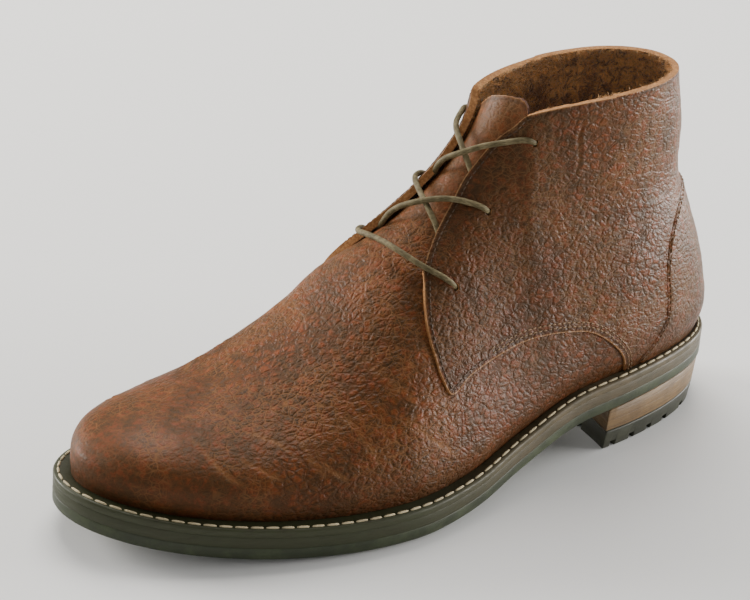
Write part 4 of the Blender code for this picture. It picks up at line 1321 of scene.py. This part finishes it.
def build_vamp():
    """Vamp and tongue in one sheet: it sinks under the quarters towards the collar."""
    sink = ease((PLACE_LEVEL - 0.63) / 0.15) * ease((0.050 - PLACE_GAP) / 0.030)
    depth = VAMP_DEPTH + (TONGUE_DEPTH - VAMP_DEPTH + 0.0006) * sink
    points = moved(depth)
    tongue = np.where(BESIDE_THROAT, TUCK - FROM_THROAT, -1.0)
    tongue = np.minimum(tongue, (tongue_top(SIGNED_REACH) - PLACE_LEVEL) * LEVEL_LENGTH)
    value = np.where(PLACE_GAP < 0.06, np.minimum(TUCK - FROM_EDGE, 1.0), TUCK - FROM_EDGE)
    value = np.where(BESIDE_THROAT & (PLACE_LEVEL > THROAT_BASE - 0.02), tongue, value)
    value = np.minimum(value, 0.06)
    item = upper_piece("vamp_and_tongue", points, value, WALL - 0.0002,
                       [LEATHER_SMOOTH, TONGUE_LINING, DARK_EDGE])
    nearest = nearest_points(points_of(item))
    on_tongue = PLACE_GAP[nearest] < 0.05
    paint(item, "calm", ease((PLACE_LEVEL[nearest] - 0.74) / 0.08) * on_tongue)
    return item


def build_quarters():
    points = moved(QUARTER_DEPTH)
    value = np.minimum(QUARTER_VALUE, from_eyelets(POINTS))
    return upper_piece("quarters", points, value, QUARTER_WALL, [LEATHER, LINING, CUT_EDGE])


def build_backstay():
    """The strip up the heel. Gives back its front edge, seen from the side, for its stitches."""
    base = float(welt_top(LAST_HEEL))
    edge = side_line(BACKSTAY_EDGE, base, SHAFT_HEIGHT, 90)
    head = base + SHAFT_HEIGHT * (BACKSTAY_EDGE[0].height + 0.02)
    outline = np.concatenate([[(SOLE_LENGTH, head)], edge, [(edge[-1, 0], -INSTEP), (SOLE_LENGTH, -INSTEP)]])
    value = signed_distance(POINTS[:, 1:], outline)
    lift = BACKSTAY_STEP * ease(value / 0.0012)
    points = moved(QUARTER_DEPTH - lift - 0.00002)
    upper_piece("backstay", points, value, BACKSTAY_STEP + 0.0006, [LEATHER, LINING, DARK_EDGE],
                edge_line=False)
    return edge


# Sole

def profile_rows(profile, first, last, count):
    """Rows across the sole for each (inset, height, rise) of a profile."""
    for inset, height, rise in profile:
        rows = plate_rows(inset, height, first, last, count)
        rows[:, :, 2] += rise
        yield rows


def plate(name, profile, materials=(), last=1.0, count=FINE_ROWS):
    """A plate from the heel to station last. Its edge follows a profile from its underside up."""
    loops = [np.concatenate([rows[:, 0], rows[::-1, 1]])
             for rows in profile_rows(profile, 0.0, last, count)]
    around = 2 * count
    faces = grid_faces(len(loops), around)
    for base in (0, (len(loops) - 1) * around):
        for row in range(count - 1):
            faces.append((base + row, base + row + 1, base + around - 2 - row, base + around - 1 - row))
    return add_mesh(name, np.concatenate(loops), faces, materials, 30)


def build_welt():
    """The stitched strip round the sole, as a closed band."""
    def inner(station):
        return margin(station) + WELT_REACH

    profile = [(inner, welt_low, 0.0), (SOLE_ROUND, welt_low, 0.0), (0.00003, welt_low, SOLE_ROUND),
               (0.0, welt_top, -0.0010), (0.0002, welt_top, -0.0005), (0.0007, welt_top, -0.0001),
               (0.0015, welt_top, 0.0), (0.0026, welt_top, -0.0001), (inner, welt_top, -0.0001)]
    loops = [np.concatenate([rows[:, 0], rows[-2:0:-1, 1]])
             for rows in profile_rows(profile, 0.0, 1.0, FINE_ROWS)]
    faces = grid_faces(len(loops), len(loops[0]), closed=True)
    place(add_mesh("welt_strip", np.concatenate(loops), faces, [WELT_TOP], 35), "welt")


def build_midsole():
    set_in = 0.00004
    place(plate("midsole_layer", [
        (set_in + SOLE_ROUND, midsole_low, -GAP * 0.5), (set_in, midsole_low, SOLE_ROUND),
        (set_in, midsole_top, 0.0), (set_in + SOLE_ROUND, midsole_top, GAP * 0.8)], [MIDSOLE_LEATHER]),
        "midsole")


def over_underside(rise):
    """A height that follows the underside of the sole."""
    return lambda y: sole_underside(y) + rise


def build_outsole():
    outsole_top = over_underside(OUTSOLE)
    item = plate("outsole_sheet", [
        (0.0012, sole_underside, 0.0), (0.0004, sole_underside, 0.0003), (0.0, sole_underside, 0.0010),
        (0.0, outsole_top, -SOLE_ROUND), (SOLE_ROUND, outsole_top, GAP * 0.5)], [SOLE_RUBBER])
    low, top = (plate_rows(TREAD_MARGIN, over_underside(rise), TREAD_START, 1.0, 90)
                for rise in (-2 * LUG_PROUD, TREAD_DEPTH))
    boolean(item, add_mesh("tread_cut", *strip_solid(low, top)), "DIFFERENCE")
    lugs = radial_bars(TREAD_MARGIN - LUG_PROUD, TREAD_START, TREAD_END,
                       SIDE_LUGS, TOE_LUGS, LUG_LENGTH, LUG_WIDTH, 0.55)
    floor = over_underside(-LUG_PROUD)
    stud_floor = over_underside(-LUG_PROUD * 0.6)
    root = over_underside(TREAD_DEPTH + (OUTSOLE - TREAD_DEPTH) / 2)
    shapes = [prism(notched(points), floor, root) for points in lugs]
    shapes += [prism(zigzag(row.station, row.teeth), stud_floor, root) for row in STUDS]
    boolean(item, add_mesh("tread_blocks", *join_prisms(shapes)), "UNION")
    finish_block(item, SOLE_RUBBER, "outsole")


def notched(points, notch_width=0.0016, notch_depth=0.0013):
    """A lug with a small notch cut into each of its long sides."""
    a, b, c, d = (np.array(p, float) for p in points)
    middle = (a + b + c + d) / 4
    shape = []
    for start, stop, t in ((b, c, 0.60), (d, a, 0.40)):
        run = stop - start
        inward = np.array([-run[1], run[0]]) / np.linalg.norm(run)
        if inward @ (middle - start) < 0:
            inward = -inward
        inward = inward * notch_depth
        width = notch_width / np.linalg.norm(run)
        shape += [start, start + run * (t - width), start + run * (t - width / 2) + inward,
                  start + run * (t + width / 2) + inward, start + run * (t + width), stop]
    return shape


def breast(name):
    y = float(station_y(HEEL_LENGTH / SOLE_LENGTH))
    _, outer, inner = edge_rows(0.0, HEEL_LENGTH / SOLE_LENGTH, 0.5, 2)
    half = (outer[0] - inner[0]) / 2
    radius = (half**2 + BREAST_HOLLOW**2) / (2 * BREAST_HOLLOW)
    centre = (outer[0] + inner[0]) / 2
    middle = y + BREAST_HOLLOW - radius
    ring = [(centre + radius * math.cos(a), middle + radius * math.sin(a))
            for a in np.linspace(0, 2 * math.pi, 240, endpoint=False)]
    return add_mesh(name, *prism(ring, -HEEL_HEIGHT, 3 * HEEL_HEIGHT))


def build_heel():
    """The stacked leather and the rubber top piece, with the slots and chevrons under it."""
    breast_station = HEEL_LENGTH / SOLE_LENGTH
    length = (HEEL_LENGTH + BREAST_HOLLOW) / SOLE_LENGTH
    split = HEEL_SET_IN + HEEL_TAPER * 0.5
    foot = HEEL_SET_IN + HEEL_TAPER
    block_top = over_underside(-GAP)
    block_low = TOP_PIECE + GAP
    block = plate("heel_stack", [
        (split + 0.0003, block_low, 0.0), (split, block_low, 0.0003),
        (HEEL_SET_IN, block_top, -0.0003), (HEEL_SET_IN + 0.0003, block_top, 0.0)],
        last=length, count=HEEL_ROWS)
    piece = plate("heel_lift", [
        (foot + 0.0008, 0.0, 0.0), (foot + 0.0001, 0.0, 0.0007),
        (split, TOP_PIECE, -0.0004), (split + 0.0004, TOP_PIECE, 0.0)],
        last=length, count=HEEL_ROWS)
    boolean(block, breast("breast_a"), "DIFFERENCE")
    boolean(piece, breast("breast_b"), "DIFFERENCE")

    centre_station = breast_station * 0.42
    slots = radial_bars(-SLOT_WIDTH, breast_station, centre_station, HEEL_SIDE_SLOTS, HEEL_REAR_SLOTS,
                        SLOT_LENGTH + SLOT_WIDTH, SLOT_WIDTH, 0.8)
    slots = [prism(p, -SLOT_DEPTH, SLOT_DEPTH) for p in slots]
    boolean(piece, add_mesh("slots", *join_prisms(slots)), "DIFFERENCE")

    front = float(station_y(breast_station * 0.86))
    back = float(station_y(centre_station * 0.66))
    _, outer, inner = edge_rows(0.0, breast_station * 0.6, 0.5, 2)
    middle = (outer[0] + inner[0]) / 2
    half = HEEL_POCKET_WIDTH / 2
    box = [(middle - half, front), (middle + half, front),
           (middle + half * 0.8, back), (middle - half * 0.8, back)]
    boolean(piece, add_mesh("pocket", *prism(box, -SLOT_DEPTH, SLOT_DEPTH * 0.8)), "DIFFERENCE")
    arm, thick = CHEVRON / 2, STUD_WIDTH / 2
    chevrons = []
    for share in (0.32, 0.72):
        y = front + (back - front) * share
        line = [(middle - arm, y + arm * 0.7), (middle, y), (middle + arm, y + arm * 0.7)]
        shape = [(x, v + thick) for x, v in line] + [(x, v - thick) for x, v in line[::-1]]
        chevrons.append(prism(shape, 0.0003, SLOT_DEPTH))
    boolean(piece, add_mesh("chevrons", *join_prisms(chevrons)), "UNION")
    finish_block(block, HEEL_STACK, "heel_block")
    finish_block(piece, HEEL_RUBBER, "heel_top_piece")


def build_insole():
    """The suede cover over the board."""
    def edge(inset):
        return lambda station: margin(station) + inset

    board, cover = edge(WELT_REACH + GAP), edge(WELT_REACH * 0.4)
    place(plate("insole_cover", [
        (board, welt_low, 0.0002), (board, welt_top, 0.0001), (cover, welt_top, 0.0004),
        (cover, welt_top, 0.0010), (edge(WELT_REACH * 0.4 + 0.0012), welt_top, 0.0018)],
        [INSOLE_SUEDE]), "insole")


# Laces

def strand_points(stops, count, passes=45):
    """A smooth path through stops of (level, signed reach, lift), eased away from its ends."""
    places = [on_last(a, abs(b), 1 if b >= 0 else -1, c)[0] for a, b, c in stops]
    path = smooth_line(places, count)
    calm = ease(np.minimum(np.arange(count), np.arange(count)[::-1]) / (0.16 * count))[1:-1, None]
    for _ in range(passes):
        path[1:-1] += ((path[2:] + path[:-2]) / 2 - path[1:-1]) * 0.5 * calm
    return path


def build_lace(name, node, stops, count=110):
    path = strand_points(stops, count)
    item = tube(name, path, LACE / 2, LACE_CORD, 14)
    points = points_of(item)
    near = ((points[:, None, :] - path[None]) ** 2).sum(2).argmin(1)
    paint(item, "braid_u", length_along(path)[near] / BRAID_PITCH)
    angle = np.arctan2(points[:, 2] - path[near, 2], points[:, 0] - path[near, 0])
    paint(item, "braid_v", BRAID_STRANDS * angle)
    place(item, node)


def build_laces():
    """The bar and the four strands of the crossings, each from one eyelet or edge to another."""
    over = QUARTER_STEP / 2 + LACE / 2 + 0.0001
    under = -(TONGUE_DEPTH - LACE * 0.25)
    deep = -0.0032
    low, middle, high = ((row.level, THROAT_WIDTH * row.reach) for row in EYELETS)

    def entry(eyelet, side, slope=0.0):
        level, reach = eyelet
        return [(level, side * (reach + 0.0004), deep), (level, side * (reach + 0.0001), -0.0008),
                (level, side * (reach - 0.0012), 0.0010), (level - slope, side * (reach - 0.0038), over)]

    def inside(eyelet, side):
        level, reach = eyelet
        return [(level + 0.004, side * (reach - 0.004), under), (level, side * reach, under)]

    build_lace("lace_bar_cord", "lace_bar", entry(low, 1) + [
        (0.739, 0.0231, over), (0.733, 0.0120, over), (0.731, 0.0010, over + 0.0002),
        (0.729, -0.0100, over), (0.728, -0.0200, over),
    ] + entry(low, -1)[::-1], 70)
    build_lace("lace_lower_a", "lace_cross_lower", entry(middle, 1, 0.006) + [
        (0.826, 0.0099, over + 0.0003), (0.796, 0.0010, over + 0.0012),
        (0.775, -0.0075, over - 0.0002), (0.763, -0.0118, -0.0004), (0.756, -0.0165, under),
    ] + inside(low, -1))
    build_lace("lace_lower_b", "lace_cross_lower", entry(middle, -1, 0.004) + [
        (0.831, -0.0122, over + 0.0008), (0.820, -0.0065, over + 0.0008), (0.810, -0.0005, over - 0.0008),
        (0.798, 0.0070, over - 0.0008), (0.788, 0.0125, -0.0012), (0.776, 0.0175, under),
    ] + inside(low, 1))
    build_lace("lace_upper_a", "lace_cross_upper", entry(high, 1, 0.007) + [
        (0.936, 0.0134, over + 0.0001), (0.916, 0.0088, over + 0.0005),
        (0.886, 0.0033, over + 0.0012), (0.866, -0.0030, over), (0.855, -0.0070, -0.0002),
        (0.848, -0.0115, under),
    ] + inside(middle, -1))
    build_lace("lace_upper_b", "lace_cross_upper", entry(high, -1, 0.006) + [
        (0.934, -0.0120, over + 0.0008), (0.917, -0.0070, over + 0.0010), (0.903, -0.0020, over - 0.0004),
        (0.890, 0.0028, over - 0.0010), (0.876, 0.0078, -0.0010), (0.862, 0.0130, under),
    ] + inside(middle, 1))


def build_nap():
    """The raised fibres of the suede lining, thickest along its upper edge."""
    draw = np.random.default_rng(7)
    wall = QUARTER_WALL + QUARTER_DEPTH - 0.0001
    usable = np.where((QUARTER_VALUE > 0.0006) & (GRID_LEVEL > 0.80))[0]
    weight = 0.25 + ease((GRID_LEVEL[usable] - 0.86) / 0.14)
    chosen = draw.choice(usable, NAP_COUNT, p=weight / weight.sum())
    around = np.roll(RINGS, -1, 1).reshape(-1, 3) - POINTS
    verts, faces = [], []
    for index in chosen:
        inward = -OUTWARD[index]
        root = POINTS[index] + inward * wall + around[index] * draw.uniform(-0.5, 0.5)
        root[2] += draw.uniform(-0.0006, 0.0006)
        lean = draw.normal(0, 1, 3)
        tip_way = inward + lean * 0.75 + np.array([0, 0, 0.25])
        tip_way /= np.linalg.norm(tip_way)
        side = np.cross(tip_way, lean + 0.01)
        side /= np.linalg.norm(side)
        other = np.cross(side, tip_way)
        size = draw.uniform(*NAP_THICK)
        base = len(verts)
        for turn in (0.0, 2.1, 4.2):
            verts.append(root + (side * math.cos(turn) + other * math.sin(turn)) * size - inward * 0.0002)
        verts.append(root + tip_way * draw.uniform(*NAP_LONG))
        faces += [(base, base + 1, base + 3), (base + 1, base + 2, base + 3), (base + 2, base, base + 3),
                  (base, base + 2, base + 1)]
    mesh = bpy.data.meshes.new("lining_nap")
    mesh.from_pydata([tuple(map(float, v)) for v in verts], [], faces)
    mesh.materials.append(LINING)
    place(add_object("lining_nap", mesh))


# Stitches

def build_stitches(backstay_edge):
    quarter = Surface(moved(QUARTER_DEPTH))
    backstay = Surface(moved(QUARTER_DEPTH - BACKSTAY_STEP))
    outer, inner = inset_outline(WELT_STITCH_INSET)
    loop = np.concatenate([outer, inner[::-1]])
    line = np.column_stack([loop, welt_top(loop[:, 1]) + 0.00012])
    spots = [(p, d, (0, 0, 1)) for p, d in along_line(line, WELT_STITCH_PITCH)]
    capsules("welt_stitches", spots, WELT_STITCH, WELT_THREAD)

    def side_row(name, edge, offset, surface, size, material=SEAM_THREAD):
        """A row of stitches on both sides of the boot, at an offset from an edge."""
        along = np.gradient(edge, axis=0)
        out = np.stack([-along[:, 1], along[:, 0]], 1)
        out /= np.linalg.norm(out, axis=1)[:, None]
        line = edge + out * offset
        centre, half = last_section(line[:, 0], line[:, 1])
        spots = []
        for side in (1, -1):
            spots += surface.row(np.column_stack([centre + side * half, line]))
        capsules(name, spots, size, material)

    arch = EDGE_LINE[int(len(EDGE_LINE) * ARCH_FROM):]
    front = EDGE_LINE[:int(len(EDGE_LINE) * FRONT_TO)]
    for name, offset in zip(("arch_stitches_a", "arch_stitches_b"), ARCH_ROWS):
        side_row(name, arch, offset, quarter, BOLD_STITCH)
    side_row("quarter_front_stitches", front, FRONT_ROW, quarter, BOLD_STITCH, DARK_THREAD)
    side_row("backstay_stitches", backstay_edge, BACKSTAY_ROW, backstay, SEAM_STITCH)
    spots = []
    for side in (1, -1):
        levels = np.linspace(THROAT[0].level + 0.01, 0.992, 60)
        spots += quarter.row([on_last(level, float(throat_reach(level)) + FRONT_ROW, side, 0.0)[0]
                              for level in levels])
    capsules("throat_stitches", spots, SEAM_STITCH, DARK_THREAD)


# Stage and camera

FLOOR_REACH = 6.0
WORLD_LIGHT = 0.20
VIEW_AZIMUTH = 51.04
VIEW_ELEVATION = 28.44
VIEW_ROLL = 5.06
VIEW_DISTANCE = 1.0
FOCAL_PIXELS = 1838.0
ORIGIN_PIXEL = (498.2, 436.4)
AIM_PIXEL = (485.0, 328.5)
ENLARGE = 1.35
SENSOR = 36.0
FRAME_WIDTH = 750


def build_stage():
    n = Nodes("studio_floor", 0.9, 0.1)
    n.colour(n.mix(n.noise(3.0, 2.0), (0.80, 0.80, 0.795), (0.82, 0.82, 0.815)))
    verts = [(x * FLOOR_REACH, y * FLOOR_REACH, 0.0) for x, y in ((-1, -1), (1, -1), (1, 1), (-1, 1))]
    item = add_mesh("studio_floor", verts, [(0, 1, 2, 3)], [n.material])
    world = bpy.data.worlds.new("studio_world")
    bpy.context.scene.world = world
    world.use_nodes = True
    background = world.node_tree.nodes["Background"]
    background.inputs[0].default_value = (1.0, 1.0, 1.0, 1.0)
    background.inputs[1].default_value = WORLD_LIGHT


def area_light(name, spot, target, size, power, colour=(1, 1, 1)):
    light = bpy.data.lights.new(name, "AREA")
    light.shape = "RECTANGLE"
    light.size, light.size_y = size
    light.energy = power
    light.color = colour
    item = add_object(name, light)
    item.location = spot
    item.rotation_mode = "QUATERNION"
    item.rotation_quaternion = (Vector(target) - Vector(spot)).to_track_quat("-Z", "Y")


def build_camera():
    az, el, roll = (math.radians(v) for v in (VIEW_AZIMUTH, VIEW_ELEVATION, VIEW_ROLL))
    back = Vector((math.sin(az) * math.cos(el), -math.cos(az) * math.cos(el), math.sin(el)))
    right = Vector((math.cos(az), math.sin(az), 0))
    up = back.cross(right)
    r2 = right * math.cos(roll) + up * math.sin(roll)
    u2 = up * math.cos(roll) - right * math.sin(roll)
    aim = -back + r2 * ((AIM_PIXEL[0] - ORIGIN_PIXEL[0]) / FOCAL_PIXELS)
    aim -= u2 * ((AIM_PIXEL[1] - ORIGIN_PIXEL[1]) / FOCAL_PIXELS)
    turn = (-back).rotation_difference(aim)
    frame_axes = Matrix((turn @ r2, turn @ u2, turn @ back)).transposed()
    data = bpy.data.cameras.new("camera")
    data.sensor_width = SENSOR
    data.lens = FOCAL_PIXELS * ENLARGE * SENSOR / FRAME_WIDTH
    data.clip_start = 0.05
    item = add_object("camera", data)
    spot = Vector((AXIS_X, 0, 0)) + back * VIEW_DISTANCE
    item.matrix_world = Matrix.Translation(spot) @ frame_axes.to_4x4()
    bpy.context.scene.camera = item


build_stage()
build_camera()
area_light("left", (-1.52, -1.00, 0.54), (0, 0, 0.05), (0.9, 0.8), 60, (1.0, 0.97, 0.92))
area_light("behind", (0.60, 1.80, 0.32), (0, 0, 0.06), (1.7, 0.6), 78, (1.0, 0.98, 0.95))
area_light("above", (-0.75, 0.35, 1.45), (0, 0, 0.05), (1.1, 1.1), 31, (1.0, 0.97, 0.92))
area_light("front", (1.2, -1.3, 1.1), (0, 0, 0.05), (1.2, 1.2), 6)

vamp = build_vamp()
quarters = build_quarters()
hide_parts("upper", "tongue")
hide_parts("upper")
backstay_edge = build_backstay()
build_welt()
build_midsole()
build_outsole()
build_heel()
build_insole()
build_laces()
build_nap()
build_stitches(backstay_edge)
